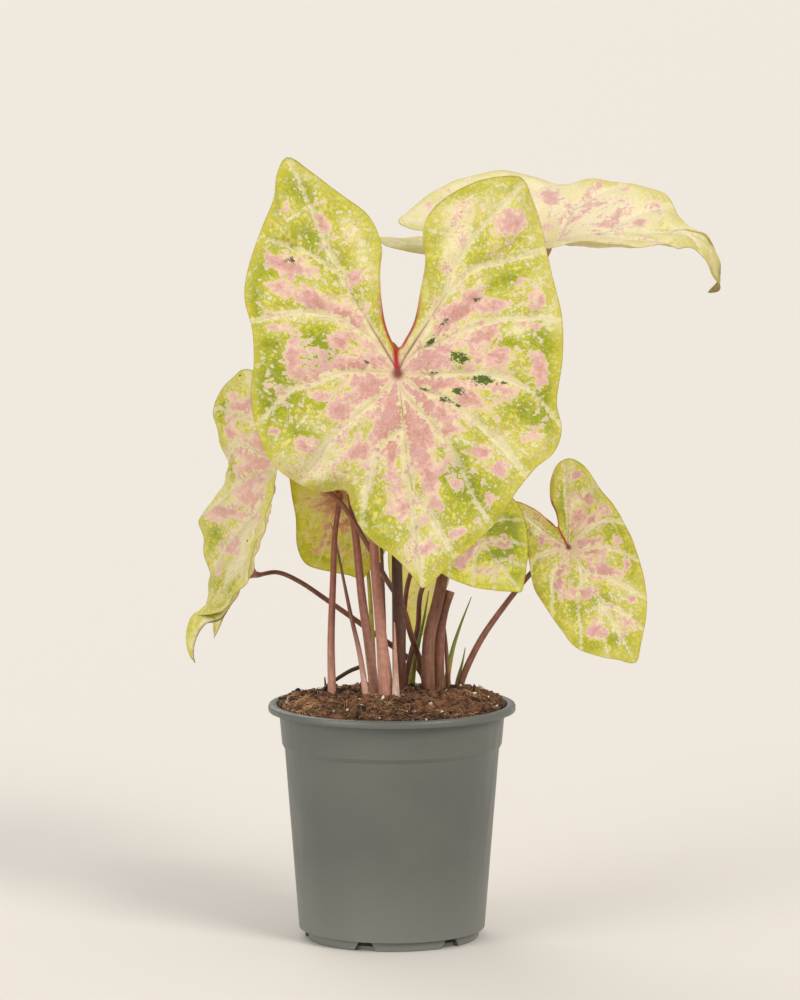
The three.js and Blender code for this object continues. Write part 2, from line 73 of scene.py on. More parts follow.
def put(tree: bpy.types.NodeTree, kind: str, inputs=(), **settings) -> bpy.types.NodeSocket:
    """Adds a shader node with its settings, values and links.

    Args:
        tree: the material's node tree.
        kind: the node's type name after "ShaderNode".
        inputs: values or sockets, as a list in the order of the sockets or a dict by name or number.
        settings: the node's own properties.

    Returns:
        The node's first output that is in use, or None for a node with no output.
    """
    made = tree.nodes.new("ShaderNode" + kind)
    for name, value in settings.items():
        setattr(made, name, value)
    for key, value in inputs.items() if isinstance(inputs, dict) else enumerate(inputs):
        if isinstance(value, bpy.types.NodeSocket):
            tree.links.new(value, made.inputs[key])
        elif value is not None:
            made.inputs[key].default_value = value
    return next((out for out in made.outputs if out.enabled), None)


def total(tree: bpy.types.NodeTree, start: float | bpy.types.NodeSocket, *terms) -> bpy.types.NodeSocket:
    """Adds up values, each times its share.

    Args:
        tree: the material's node tree.
        start: what the sum starts from.
        terms: each a value and its share.

    Returns:
        The sum.
    """
    for value, share in terms:
        start = put(tree, "Math", [value, share, start], operation="MULTIPLY_ADD")
    return start


def new_material(name: str) -> tuple[bpy.types.Material, bpy.types.NodeTree]:
    """Makes a material with an empty node tree.

    Args:
        name: the real material's name.

    Returns:
        The material and its tree.
    """
    material = bpy.data.materials.new(name)
    material.use_nodes = True
    material.node_tree.nodes.clear()
    return material, material.node_tree


def deselect() -> None:
    """Leaves nothing selected and no object active."""
    bpy.ops.object.select_all(action="DESELECT")
    bpy.context.view_layer.objects.active = None


def select_only(*pieces: bpy.types.Object) -> None:
    """Selects these objects alone and makes the first one active.

    Args:
        pieces: the objects.
    """
    deselect()
    for piece in pieces:
        piece.select_set(True)
    bpy.context.view_layer.objects.active = pieces[0]


def mesh_piece(name: str, points: np.ndarray, *faces: np.ndarray) -> bpy.types.Object:
    """Makes a smooth mesh object.

    Args:
        name: the piece's name.
        points: its vertices in millimetres.
        faces: groups of faces, each face a row of vertex numbers.

    Returns:
        The object, at the origin.
    """
    mesh = bpy.data.meshes.new(name)
    mesh.from_pydata((points * MM).tolist(), [], [face for group in faces for face in group.tolist()])
    mesh.validate()
    mesh.update()
    piece = bpy.data.objects.new(name, mesh)
    bpy.context.scene.collection.objects.link(piece)
    mesh.polygons.foreach_set("use_smooth", [True] * len(mesh.polygons))
    return piece


def ring_faces(rows: int, around: int, first: int = 0) -> np.ndarray:
    """Joins rings of points by quads.

    Args:
        rows: how many rings there are, one after the other.
        around: the points of a ring.
        first: the number of the first ring's first point.

    Returns:
        The quads.
    """
    row, place = np.meshgrid(np.arange(rows - 1), np.arange(around), indexing="ij")
    a, b = first + row * around + place, first + row * around + (place + 1) % around
    return np.stack([a, b, b + around, a + around], -1).reshape(-1, 4)


def fan_faces(middle: int, first: int, around: int, turned: bool = False) -> np.ndarray:
    """Closes a ring of points by triangles.

    Args:
        middle: the number of the point that they meet in.
        first: the number of the ring's first point.
        around: the points of the ring.
        turned: whether they face the other way.

    Returns:
        The triangles.
    """
    a = np.arange(around)
    b = (a + 1) % around
    ends = [first + b, first + a] if turned else [first + a, first + b]
    return np.stack([np.full(around, middle), *ends], -1)


def store(piece: bpy.types.Object, name: str, values: np.ndarray) -> None:
    """Keeps three numbers at each vertex, which the piece's material reads by name."""
    attribute = piece.data.attributes.new(name, "FLOAT_VECTOR", "POINT")
    attribute.data.foreach_set("vector", np.asarray(values, np.float32).ravel())


def apply_modifier(piece: bpy.types.Object, kind: str, **settings) -> None:
    """Adds a modifier with its settings and applies it.

    Args:
        piece: the object.
        kind: Blender's name for the modifier.
        settings: the modifier's properties.
    """
    select_only(piece)
    modifier = piece.modifiers.new(kind.title(), kind)
    for name, value in settings.items():
        setattr(modifier, name, value)
    bpy.ops.object.modifier_apply(modifier=modifier.name)


def smooth(x: np.ndarray | float, low: float, high: float) -> np.ndarray:
    """Rises smoothly from 0 at low to 1 at high; falls instead where low is above high."""
    t = np.clip((np.asarray(x, float) - low) / (high - low), 0, 1)
    return t * t * (3 - 2 * t)


def hand_over(piece: bpy.types.Object, material: bpy.types.Material, slot: str, *nodes: str) -> None:
    """Dresses a finished piece and gives it to the frame.

    Args:
        piece: the object.
        material: its finish.
        slot: the record's material slot; not used.
        nodes: the CAD nodes that it stands for.
    """
    piece.data.materials.clear()
    piece.data.materials.append(material)
    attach(piece, ROOT)
    if nodes:
        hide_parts(*nodes)
    log.info("%s: %d faces, %s", piece.name, len(piece.data.polygons), material.name)


# ---------------------------------------------------------------- finishes

# Sizes in millimetres of a blade's marbling, with each noise's detail, and of its finest veins.
MARBLING = {"broad": (28.57, 2.0), "cloud": (7.692, 4.0), "jagged": (2.381, 4.0), "crumbly": (1.1765, 3.0),
            "grain": (0.5882, 3.0)}
VEINLETS_APART = 8.5
NET_MESH = 2.0
RAYS_TO_A_RADIAN = 6.5
RAY_LENGTH = 13.333


class Skin(Enum):
    """The kinds of stalk and shoot skin, as (base colour, upper colour, streak colour)."""

    ROSY = ("BB8B78", "985F4F", "A26A5A")
    # The darkest brown is partly painted shade: the front leaf's stalk gets it because it hangs in that
    # leaf's shadow.
    DARK = ("644030", "4A2C1E", "38201A")
    BROWN = ("80553D", "8A5A48", "5E3A2C")
    OLIVE = ("A89350", "BDB044", "8E8A30")
    GREEN = ("A3A24A", "84902F", "A8AC58")
    SPEAR = ("CBA392", "744A3C", "9A6858")
    SHEATH = ("DDBBAB", "B58673", "C49A88")
    WITHERED = ("5E4334", "4A3226", "37251D")


@dataclass(frozen=True)
class StalkSkin:
    """Fresh leaf-stalk skin: smooth and faintly ribbed, with a soft waxy shine and darker streaks."""

    kind: Skin
    streak_width: float = 0.9
    streak_length: float = 14.0
    mottle_size: float = 2.857
    neck: str = "BC8270"

    def material(self) -> bpy.types.Material:
        """Builds the skin from the piece's own "skin" attribute: x, y round the stalk, z along it.

        Returns:
            The material.
        """
        material, tree = new_material(f"fresh_stalk_skin_{self.kind.name.lower()}")
        base, upper, streak = (linear(c) for c in self.kind.value)
        skin = put(tree, "Attribute", attribute_name="skin").node.outputs["Vector"]
        rise = put(tree, "Attribute", attribute_name="rise").node.outputs["Fac"]
        stretched = put(tree, "Mapping", {"Vector": skin, "Scale": (
            1 / self.streak_width, 1 / self.streak_width, 1 / self.streak_length)})
        streaks = put(tree, "TexNoise", {"Vector": stretched, "Scale": 1.0, "Detail": 3.0})
        mottle = put(tree, "TexNoise", {"Vector": skin, "Scale": 1 / self.mottle_size, "Detail": 4.0})
        height = put(tree, "MapRange", {"Value": rise, "From Min": 0.0, "From Max": 0.45},
                     interpolation_type="SMOOTHSTEP")
        body = put(tree, "MixRGB", {"Fac": height, "Color1": base, "Color2": upper})
        thread = put(tree, "MapRange", {"Value": streaks, "From Min": 0.48, "From Max": 0.66},
                     interpolation_type="SMOOTHSTEP")
        soft = put(tree, "Math", [thread, 0.7], operation="MULTIPLY")
        streaked = put(tree, "MixRGB", {"Fac": soft, "Color1": body, "Color2": streak})
        top = put(tree, "MapRange", {"Value": rise, "From Min": 0.9, "From Max": 1.0})
        streaked = put(tree, "MixRGB", {"Fac": top, "Color1": streaked, "Color2": linear(self.neck)})
        blotch = put(tree, "MapRange", {"Value": mottle, "From Min": 0.3, "From Max": 0.7,
                                        "To Min": 0.78, "To Max": 1.18})
        colour = put(tree, "VectorMath", {0: streaked, "Scale": blotch}, operation="SCALE")
        bump = put(tree, "Bump", {"Height": streaks, "Strength": 0.25, "Distance": 0.3 * MM})
        shader = put(tree, "BsdfPrincipled", {
            "Base Color": colour, "Roughness": 0.42, "IOR": 1.42, "Normal": bump,
            "Subsurface Weight": 0.08, "Subsurface Radius": (2 * MM, 1 * MM, 0.6 * MM)})
        put(tree, "OutputMaterial", {"Surface": shader})
        return material


@dataclass(frozen=True)
class MarbledBlade:
    """Caladium leaf blade: thin and translucent, matt above, marbled pink, cream and leaf green.

    The colours follow the blade's own attributes in millimetres. "flat" holds the place across and
    along the blade and the side. "veins" holds the number along the row of veins, the gap between
    two veins and the way to the margin. "marks" (pink, dark, red) and "tints" (cream, green with some
    painted shade, lobe vein) say where each colour gathers. Pale lime lies under all, and each other
    colour over it.

    Attributes:
        seat_size: radius of the dark spot over the stalk's seat.
        span: the leaf's size, against that of a large leaf, which its veins and halos keep to.
        withered_from: where along the blade the brown of a withered tip starts.
        greenness, creaminess, blush: how much more there is of green, cream and pink.
        dullness: how much olive lies over the underside.
        glow: how much of the light goes through the blade.
    """

    name: str
    seed: float
    pale_lime: str = "EAE391"
    lime: str = "D5CD4C"
    green: str = "B8BC28"
    deep_green: str = "98A424"
    cream: str = "F6EEC8"
    vein: str = "F7F0D2"
    pink: str = "DAA497"
    pale_pink: str = "F4D4C6"
    lilac: str = "E0B2B2"
    dark: str = "4C6615"
    red: str = "C2383F"
    margin: str = "A89A4C"
    olive: str = "B3A84E"
    web: str = "BC8570"
    blush_veinlet: str = "F4DFC8"
    seat_glow: str = "E0AF94"
    lobe_vein: str = "A26C58"
    seat: str = "98544B"
    withered: str = "B09658"
    seat_size: float = 2.4
    span: float = 1.0
    withered_from: float = 500.0
    greenness: float = 0.0
    creaminess: float = 0.0
    blush: float = 0.0
    dullness: float = 0.3
    glow: float = 0.34

    def fields(self, tree: bpy.types.NodeTree) -> SimpleNamespace:
        """Reads the blade's attributes, and adds the noises and the ways to its veins.

        Args:
            tree: the material's node tree.

        Returns:
            The fields by name.
        """
        flat, veins, marks, tints = (
            put(tree, "Attribute", attribute_name=name).node.outputs["Vector"]
            for name in ("flat", "veins", "marks", "tints"))
        f = SimpleNamespace()
        f.across, f.along, f.side = put(tree, "SeparateXYZ", [flat]).node.outputs
        number, gap, f.rim = put(tree, "SeparateXYZ", [veins]).node.outputs
        f.pinkness, f.darkness, f.redness = put(tree, "SeparateXYZ", [marks]).node.outputs
        f.creams, f.greens, f.lobe = put(tree, "SeparateXYZ", [tints]).node.outputs
        spot = put(tree, "CombineXYZ", [f.across, f.along, 0.0])
        reach = put(tree, "VectorMath", [spot], operation="LENGTH").node.outputs["Value"]
        f.reach = put(tree, "Math", [reach, 1 / self.span], operation="MULTIPLY")

        place = put(tree, "CombineXYZ", [f.across, f.along, self.seed])
        for name, (size, detail) in MARBLING.items():
            setattr(f, name, put(tree, "TexNoise", {
                "Vector": place, "Scale": 1 / size, "Detail": detail, "Roughness": 0.62}))
        f.net = put(tree, "TexVoronoi", {"Vector": place, "Scale": 1 / NET_MESH, "Randomness": 0.9},
                    feature="DISTANCE_TO_EDGE")
        angle = put(tree, "Math", [f.across, f.along], operation="ARCTAN2")
        spoke = put(tree, "CombineXYZ", [
            put(tree, "Math", [angle, RAYS_TO_A_RADIAN], operation="MULTIPLY"),
            put(tree, "Math", [f.reach, 1 / RAY_LENGTH], operation="MULTIPLY"), self.seed])
        f.rays = put(tree, "TexNoise", {"Vector": spoke, "Scale": 1.0, "Detail": 3.0, "Roughness": 0.6})

        off = put(tree, "Math", [number, put(tree, "Math", [number], operation="ROUND")],
                  operation="SUBTRACT")
        way = put(tree, "Math", [put(tree, "Math", [off], operation="ABSOLUTE"), gap], operation="MULTIPLY")
        f.way = put(tree, "Math", [way, 1 / self.span], operation="MULTIPLY")
        row = total(tree, f.reach, (f.cloud, 9.0), (f.way, -0.8))
        row = put(tree, "Math", [row, 1 / VEINLETS_APART], operation="MULTIPLY")
        row = put(tree, "Math", [put(tree, "Math", [row], operation="FRACT"), 0.5], operation="SUBTRACT")
        f.branch = put(tree, "Math", [row], operation="ABSOLUTE")
        return f

    def shown(self, tree: bpy.types.NodeTree, f: SimpleNamespace) -> dict[str, bpy.types.NodeSocket]:
        """Works out where each mark on the blade shows, from 0 to its full strength.

        Args:
            tree: the material's node tree.
            f: the blade's fields.

        Returns:
            The marks by name.
        """
        width, halo_edge, halo_core = (
            put(tree, "MapRange", {"Value": f.reach, "From Min": 3.0, "From Max": far, "To Min": near,
                                   "To Max": wide})
            for far, near, wide in ((90.0, 0.95, 0.6), (20.0, 1.6, 10.8), (20.0, 0.6, 8.2)))
        ragged = total(tree, f.way, (f.grain, 0.6))
        cored = total(tree, ragged, (f.reach, 0.025))
        broken = total(tree, f.way, (f.jagged, 14.0), (f.reach, 0.02))
        outer = put(tree, "MapRange", {"Value": f.reach, "From Min": 3.0, "From Max": 20.0})
        halo_way = total(tree, f.way, (outer, put(tree, "Math", [broken, f.way], operation="SUBTRACT")))
        green = total(tree, self.greenness, (f.greens, 0.62), (f.jagged, 1.45), (f.cloud, 0.6),
                      (f.crumbly, 0.55))
        pink = total(tree, f.pinkness, (f.rays, 1.0), (f.jagged, 0.9), (f.cloud, 0.35), (f.crumbly, 0.25))
        pink = put(tree, "Math", [pink, self.blush], operation="ADD")
        dark = total(tree, f.darkness, (f.jagged, 0.8), (f.crumbly, 0.8), (f.grain, 0.4))
        seat, tip = self.seat_size, self.withered_from
        ramps = {  # name: (value, none at, full at, strength)
            "vein": (ragged, width, 0.25, 0.85),
            "halo": (halo_way, halo_edge, halo_core, 1.0),
            "lime": (green, 1.13, 1.31, 1.0),
            "green": (green, 1.28, 1.42, 0.95),
            "deep": (green, 1.48, 1.62, 0.8),
            "blush_rim": (pink, 1.34, 1.395, 0.7),
            "blush": (pink, 1.41, 1.445, 1.0),
            "rose": (pink, 1.41, 1.83, 1.0),
            "lilac": (f.cloud, 0.46, 0.62, 0.6),
            "dark": (dark, 1.36, 1.45, 0.95),
            "speck": (total(tree, f.grain, (f.jagged, 0.5)), 0.88, 0.98, 0.12),
            "sprinkle": (total(tree, f.crumbly, (f.rays, 0.6)), 0.89, 0.93, 0.9),
            "sprinkled": (f.creams, 0.15, 0.4, 1.0),
            "net": (f.net, 0.10, 0.0, 1.0),
            "branch": (f.branch, 0.075, 0.0, 1.0),
            "near_seat": (f.reach, 36.0, 6.0, 1.0),
            "core_reach": (f.reach, 52.0, 12.0, 0.9),
            "core": (cored, 2.2, 0.9, 0.9),
            "web": (f.reach, 22.0, 5.0, 0.6),
            "seat": (f.reach, 1.9 * seat, 0.4 * seat, 1.0),
            "tip": (f.along, tip, tip + 16.0, 0.75),
            "border": (f.rim, 7.0, 0.8, 0.7),
            "margin": (f.rim, 0.7, 0.2, 0.35),
            "inland": (f.rim, 1.0, 9.0, 1.0),
        }
        return {
            name: put(tree, "MapRange", {"Value": value, "From Min": low, "From Max": high, "To Max": top},
                      interpolation_type="SMOOTHSTEP")
            for name, (value, low, high, top) in ramps.items()}

    def colour(self, tree: bpy.types.NodeTree, f: SimpleNamespace,
               show: dict[str, bpy.types.NodeSocket]) -> bpy.types.NodeSocket:
        """Lays the blade's colours over each other.

        Args:
            tree: the material's node tree.
            f: the blade's fields.
            show: where each mark shows.

        Returns:
            The finished colour.
        """
        creamy = total(tree, self.creaminess, (f.creams, 0.4), (f.broad, 0.6), (f.jagged, 1.0),
                       (f.cloud, 0.4), (f.crumbly, 0.12), (show["halo"], 0.24), (f.greens, -0.3))
        cream = put(tree, "MapRange", {"Value": creamy, "From Min": 1.02, "From Max": 1.26, "To Max": 0.9},
                    interpolation_type="SMOOTHSTEP")
        off_halo = put(tree, "MapRange", {"Value": show["halo"], "From Min": 0.75, "From Max": 0.35})
        under = put(tree, "Math", [1.0, f.side], operation="SUBTRACT")
        pairs = {
            "border": (show["border"], 0.8), "branch": (show["branch"], 0.30), "halo": (show["halo"], 0.6),
            "sprinkle": (show["sprinkle"], show["sprinkled"]),
            "blush_rim": (show["blush_rim"], off_halo), "blush": (show["blush"], off_halo),
            "blush_net": (show["blush"], show["net"]), "vein": (show["vein"], show["inland"]),
            "near": (show["core"], show["near_seat"]), "core": (show["core"], f.lobe),
            "below": (under, self.dullness), "web": (under, show["web"]),
        }
        both = {name: put(tree, "Math", list(pair), operation="MULTIPLY") for name, pair in pairs.items()}
        for name, share in (("blush_net", 0.35), ("near", 0.35), ("core", show["core_reach"])):
            both[name] = put(tree, "Math", [both[name], share], operation="MULTIPLY")
        rose = put(tree, "MixRGB", {"Fac": show["rose"], "Color1": linear(self.pale_pink),
                                    "Color2": linear(self.pink)})
        rose = put(tree, "MixRGB", {"Fac": show["lilac"], "Color1": rose, "Color2": linear(self.lilac)})
        body = put(tree, "RGB")
        body.default_value = linear(self.pale_lime)
        for amount, colour in (
                (show["lime"], self.lime), (show["green"], self.green), (show["deep"], self.deep_green),
                (cream, self.cream), (show["speck"], self.cream), (both["border"], self.lime),
                (both["branch"], self.cream), (both["halo"], self.cream), (both["sprinkle"], self.pink),
                (both["blush_rim"], self.vein), (both["blush"], rose),
                (both["blush_net"], self.blush_veinlet), (show["dark"], self.dark),
                (both["vein"], self.vein), (both["near"], self.seat_glow),
                (both["core"], self.lobe_vein), (f.redness, self.red), (show["seat"], self.seat),
                (show["tip"], self.withered), (show["margin"], self.margin), (both["below"], self.olive),
                (both["web"], self.web)):
            over = linear(colour) if isinstance(colour, str) else colour
            body = put(tree, "MixRGB", {"Fac": amount, "Color1": body, "Color2": over})
        return body

    def material(self) -> bpy.types.Material:
        """Builds the finish. Veins and veinlets lie a little deeper than the blade between them.

        Returns:
            The material.
        """
        material, tree = new_material(f"caladium_leaf_{self.name}")
        f = self.fields(tree)
        show = self.shown(tree, f)
        body = self.colour(tree, f, show)
        relief = total(tree, 0.5, (f.jagged, 0.45), (show["vein"], -0.5), (show["branch"], -0.35),
                       (show["net"], -0.12), (f.grain, 0.12))
        bump = put(tree, "Bump", {"Height": relief, "Strength": 0.7, "Distance": 0.6 * MM})
        surface = put(tree, "BsdfPrincipled", {
            "Base Color": body, "Roughness": 0.46, "IOR": 1.42, "Specular IOR Level": 0.35, "Normal": bump})
        through = put(tree, "BsdfTranslucent", {"Color": body, "Normal": bump})
        mixed = put(tree, "MixShader", {"Fac": self.glow, 1: surface, 2: through})
        put(tree, "OutputMaterial", {"Surface": mixed})
        return material


@dataclass(frozen=True)
class MouldedPolypropylene:
    """Injection-moulded polypropylene of a nursery pot: grey-green, satin, with faint flow marks.

    The plastic is painted lighter towards the foot: a painted highlight for the light that the pale floor
    throws back onto it, growing from a set height down to one near the foot.

    Attributes:
        painted_bounce_waver: how far the edge of the painted highlight wavers up and down, in millimetres as
            all sizes here.
        painted_bounce_share: how much of the plastic's colour the painted highlight covers at most.
    """

    colour: str = "565954"
    worn: str = "6A6C65"
    painted_bounce: str = "93958C"
    painted_bounce_top: float = 75.0
    painted_bounce_foot: float = 5.0
    painted_bounce_waver: float = 60.0
    painted_bounce_share: float = 0.45
    cloud_size: float = 45.45
    scuff_size: tuple[float, float, float] = (3.846, 3.846, 33.33)
    grit_size: float = 0.6667

    def material(self) -> bpy.types.Material:
        """Builds the pot's finish: a satin grey with soft scuffs that only the gloss shows, and a painted
        highlight low down.

        Returns:
            The material.
        """
        material, tree = new_material("moulded_polypropylene")
        place = put(tree, "TexCoord").node.outputs["Object"]
        cloud = put(tree, "TexNoise", {"Vector": place, "Scale": 1 / (self.cloud_size * MM), "Detail": 4.0})
        tall = put(tree, "Mapping", {"Vector": place, "Scale": [1 / (size * MM) for size in self.scuff_size]})
        scuff = put(tree, "TexNoise", {"Vector": tall, "Scale": 1.0, "Detail": 3.0})
        grit = put(tree, "TexNoise", {"Vector": place, "Scale": 1 / (self.grit_size * MM), "Detail": 1.0})
        fac = put(tree, "MapRange", {"Value": cloud, "From Min": 0.3, "From Max": 0.75, "To Max": 0.5})
        colour = put(tree, "MixRGB", {"Fac": fac, "Color1": linear(self.colour), "Color2": linear(self.worn)})
        # Painted highlight: the colour turns lighter towards the foot, standing for light thrown back by the
        # floor.
        height = put(tree, "SeparateXYZ", [place]).node.outputs["Z"]
        bounce_height = total(tree, height, (cloud, self.painted_bounce_waver * MM))
        painted_bounce_mask = put(tree, "MapRange", {"Value": bounce_height, "From Min": self.painted_bounce_top * MM,
                                       "From Max": self.painted_bounce_foot * MM, "To Max": self.painted_bounce_share})
        colour = put(tree, "MixRGB", {"Fac": painted_bounce_mask, "Color1": colour, "Color2": linear(self.painted_bounce)})
        gloss = put(tree, "MapRange", {"Value": scuff, "From Min": 0.3, "From Max": 0.75,
                                       "To Min": 0.36, "To Max": 0.5})
        bump = put(tree, "Bump", {"Height": grit, "Strength": 0.12, "Distance": 0.1 * MM})
        shader = put(tree, "BsdfPrincipled", {"Base Color": colour, "Roughness": gloss, "IOR": 1.49,
                                              "Normal": bump})
        put(tree, "OutputMaterial", {"Surface": shader})
        return material


@dataclass(frozen=True)
class Earthy:
    """Coir, peat and perlite: rough and matt, each grain its own shade."""

    name: str
    dark: str
    light: str
    grain: float
    roughness: float = 0.95

    def material(self) -> bpy.types.Material:
        """Builds the grain's finish; grain is the size in millimetres of its light and dark spots.

        Returns:
            The material.
        """
        material, tree = new_material(self.name)
        place = put(tree, "TexCoord").node.outputs["Object"]
        spots = put(tree, "TexNoise", {"Vector": place, "Scale": 1 / (self.grain * MM), "Detail": 4.0})
        patches = put(tree, "TexNoise", {"Vector": place, "Scale": 0.12 / (self.grain * MM), "Detail": 2.0})
        both = put(tree, "Math", [spots, patches], operation="ADD")
        fac = put(tree, "MapRange", {"Value": both, "From Min": 0.85, "From Max": 1.25})
        colour = put(tree, "MixRGB", {"Fac": fac, "Color1": linear(self.dark), "Color2": linear(self.light)})
        bump = put(tree, "Bump", {"Height": spots, "Strength": 0.6, "Distance": 0.4 * self.grain * MM})
        shader = put(tree, "BsdfPrincipled", {"Base Color": colour, "Roughness": self.roughness,
                                              "Normal": bump})
        put(tree, "OutputMaterial", {"Surface": shader})
        return material


# ---------------------------------------------------------------- leaf blades

PER_SPAN = 12       # curve points to each point of a blade's outline
FINE_SPAN = 16      # curve points to each point of a vein or a stem's course
VEIN_POINTS = 28    # points of a vein
FULL_PILLOW = 26    # gap between two veins, in millimetres, that quilts to its full height

def bend_through(a: np.ndarray, b: np.ndarray, c: np.ndarray, d: np.ndarray, t: np.ndarray) -> np.ndarray:
    """Runs from b to c so that it meets the stretches on both sides of it smoothly.

    Args:
        a, b, c, d: four places in a row.
        t: how far along, from 0 at b to 1 at c, as a column.

    Returns:
        A place for each t.
    """
    return (b + 0.5 * t * (c - a) + t * t * (a - 2.5 * b + 2 * c - 0.5 * d)
            + t ** 3 * (-0.5 * a + 1.5 * b - 1.5 * c + 0.5 * d))


def closed_spline(points: list[tuple[float, float]]) -> np.ndarray:
    """Runs a smooth closed curve through an outline's points.

    Args:
        points: the outline.

    Returns:
        The curve's points, PER_SPAN to each of the outline's.
    """
    p = np.asarray(points, float)
    t = (np.arange(PER_SPAN) / PER_SPAN)[:, None]
    fours = zip(np.roll(p, 1, 0), p, np.roll(p, -1, 0), np.roll(p, -2, 0))
    return np.concatenate([bend_through(*four, t) for four in fours])


def open_spline(points: list, count: int) -> np.ndarray:
    """Runs a smooth curve through points, evenly spaced along its length.

    Args:
        points: two or more places, of two or three numbers each.
        count: how many points to return.

    Returns:
        The curve's points.
    """
    p = np.asarray(points, float)
    p = np.vstack([2 * p[0] - p[1], p, 2 * p[-1] - p[-2]])
    t = np.linspace(0, 1, FINE_SPAN, endpoint=False)[:, None]
    dense = np.vstack([*(bend_through(*four, t) for four in zip(p, p[1:], p[2:], p[3:])), p[-2]])
    walked = lengths_along(dense)
    return at_lengths(dense, walked, np.linspace(0, walked[-1], count))


def lengths_along(line: np.ndarray) -> np.ndarray:
    """Gives the length walked along a line up to each of its points."""
    return np.r_[0, np.cumsum(np.linalg.norm(np.diff(line, axis=0), axis=1))]


def at_lengths(line: np.ndarray, walked: np.ndarray, want: np.ndarray) -> np.ndarray:
    """Gives a line's places at the lengths wanted, from the lengths walked up to its points."""
    return np.stack([np.interp(want, walked, part) for part in line.T], -1)


@dataclass(frozen=True)
class Half:
    """One half of a blade: its half width, the reach of its back lobe and how far out that stands."""

    width: float
    lobe: float
    spread: float

    def outline(self, length: float, notch: float, side: int) -> list[tuple[float, float]]:
        """Gives the half's outline from the notch to just before the tip.

        Args:
            length: from the stalk's seat to the tip.
            notch: from the seat back to the notch.
            side: 1 for the right half, -1 for the left.

        Returns:
            The outline's points.
        """
        w, b, x = self.width, self.lobe, self.spread
        inner = b - notch
        points = [
            (0.12 * x, -notch - 0.10 * inner), (0.30 * x, -notch - 0.36 * inner),
            (0.46 * x, -notch - 0.66 * inner), (0.68 * x, -0.93 * b), (x, -b),
            (x + 0.42 * (w - x), -0.88 * b), (x + 0.78 * (w - x), -0.58 * b), (0.97 * w, -0.24 * b),
            (w, 0.06 * length), (0.95 * w, 0.26 * length), (0.80 * w, 0.47 * length),
            (0.56 * w, 0.67 * length), (0.30 * w, 0.84 * length), (0.10 * w, 0.96 * length),
        ]
        return [(side * v, u) for v, u in points]

    def veins(self, length: float, side: int) -> list[list[tuple[float, float]]]:
        """Lays out the half's veins from the midrib round to the back lobe.

        Args:
            length: from the stalk's seat to the tip.
            side: 1 for the right half, -1 for the left.

        Returns:
            The veins, each a row of points that starts at the stalk's seat.
        """
        w, b, x = self.width, self.lobe, self.spread
        runs = [
            [(0, 0), (0, 0.44 * length), (0.20 * w, 0.60 * length), (0.38 * w, 0.80 * length)],
            [(0, 0), (0, 0.20 * length), (0.34 * w, 0.36 * length), (0.66 * w, 0.60 * length)],
            [(0, 0), (0.02 * w, 0.05 * length), (0.52 * w, 0.13 * length), (0.95 * w, 0.36 * length)],
            [(0, 0), (0.30 * w, -0.03 * length), (0.68 * w, -0.05 * length), (1.02 * w, 0.04 * length)],
            [(0, 0), (0.30 * x, -0.28 * b), (0.52 * w, -0.46 * b), (0.98 * w, -0.50 * b)],
            [(0, 0), (0.34 * x, -0.30 * b), (0.62 * x, -0.62 * b), (0.98 * x, -0.98 * b)],
        ]
        return [[(side * v, u) for v, u in run] for run in runs]


def way_and_side(points: np.ndarray, line: np.ndarray) -> tuple[np.ndarray, np.ndarray]:
    """Measures how far points lie from a line, and on which side of it.

    Args:
        points: places on the flat blade.
        line: the line's points, whose last stretch counts as 8 times as long.

    Returns:
        The distances, and 1 or -1 for the side.
    """
    best, side = np.full(len(points), 1e9), np.zeros(len(points))
    for k, (a, b) in enumerate(zip(line, line[1:])):
        step, away = b - a, points - a
        t = np.clip(away @ step / (step @ step), 0, 8 if k == len(line) - 2 else 1)
        d = np.hypot(*(away - t[:, None] * step).T)
        nearer = d < best - 1e-9
        side = np.where(nearer, np.sign(step[0] * away[:, 1] - step[1] * away[:, 0]), side)
        best = np.where(nearer, d, best)
    return best, side


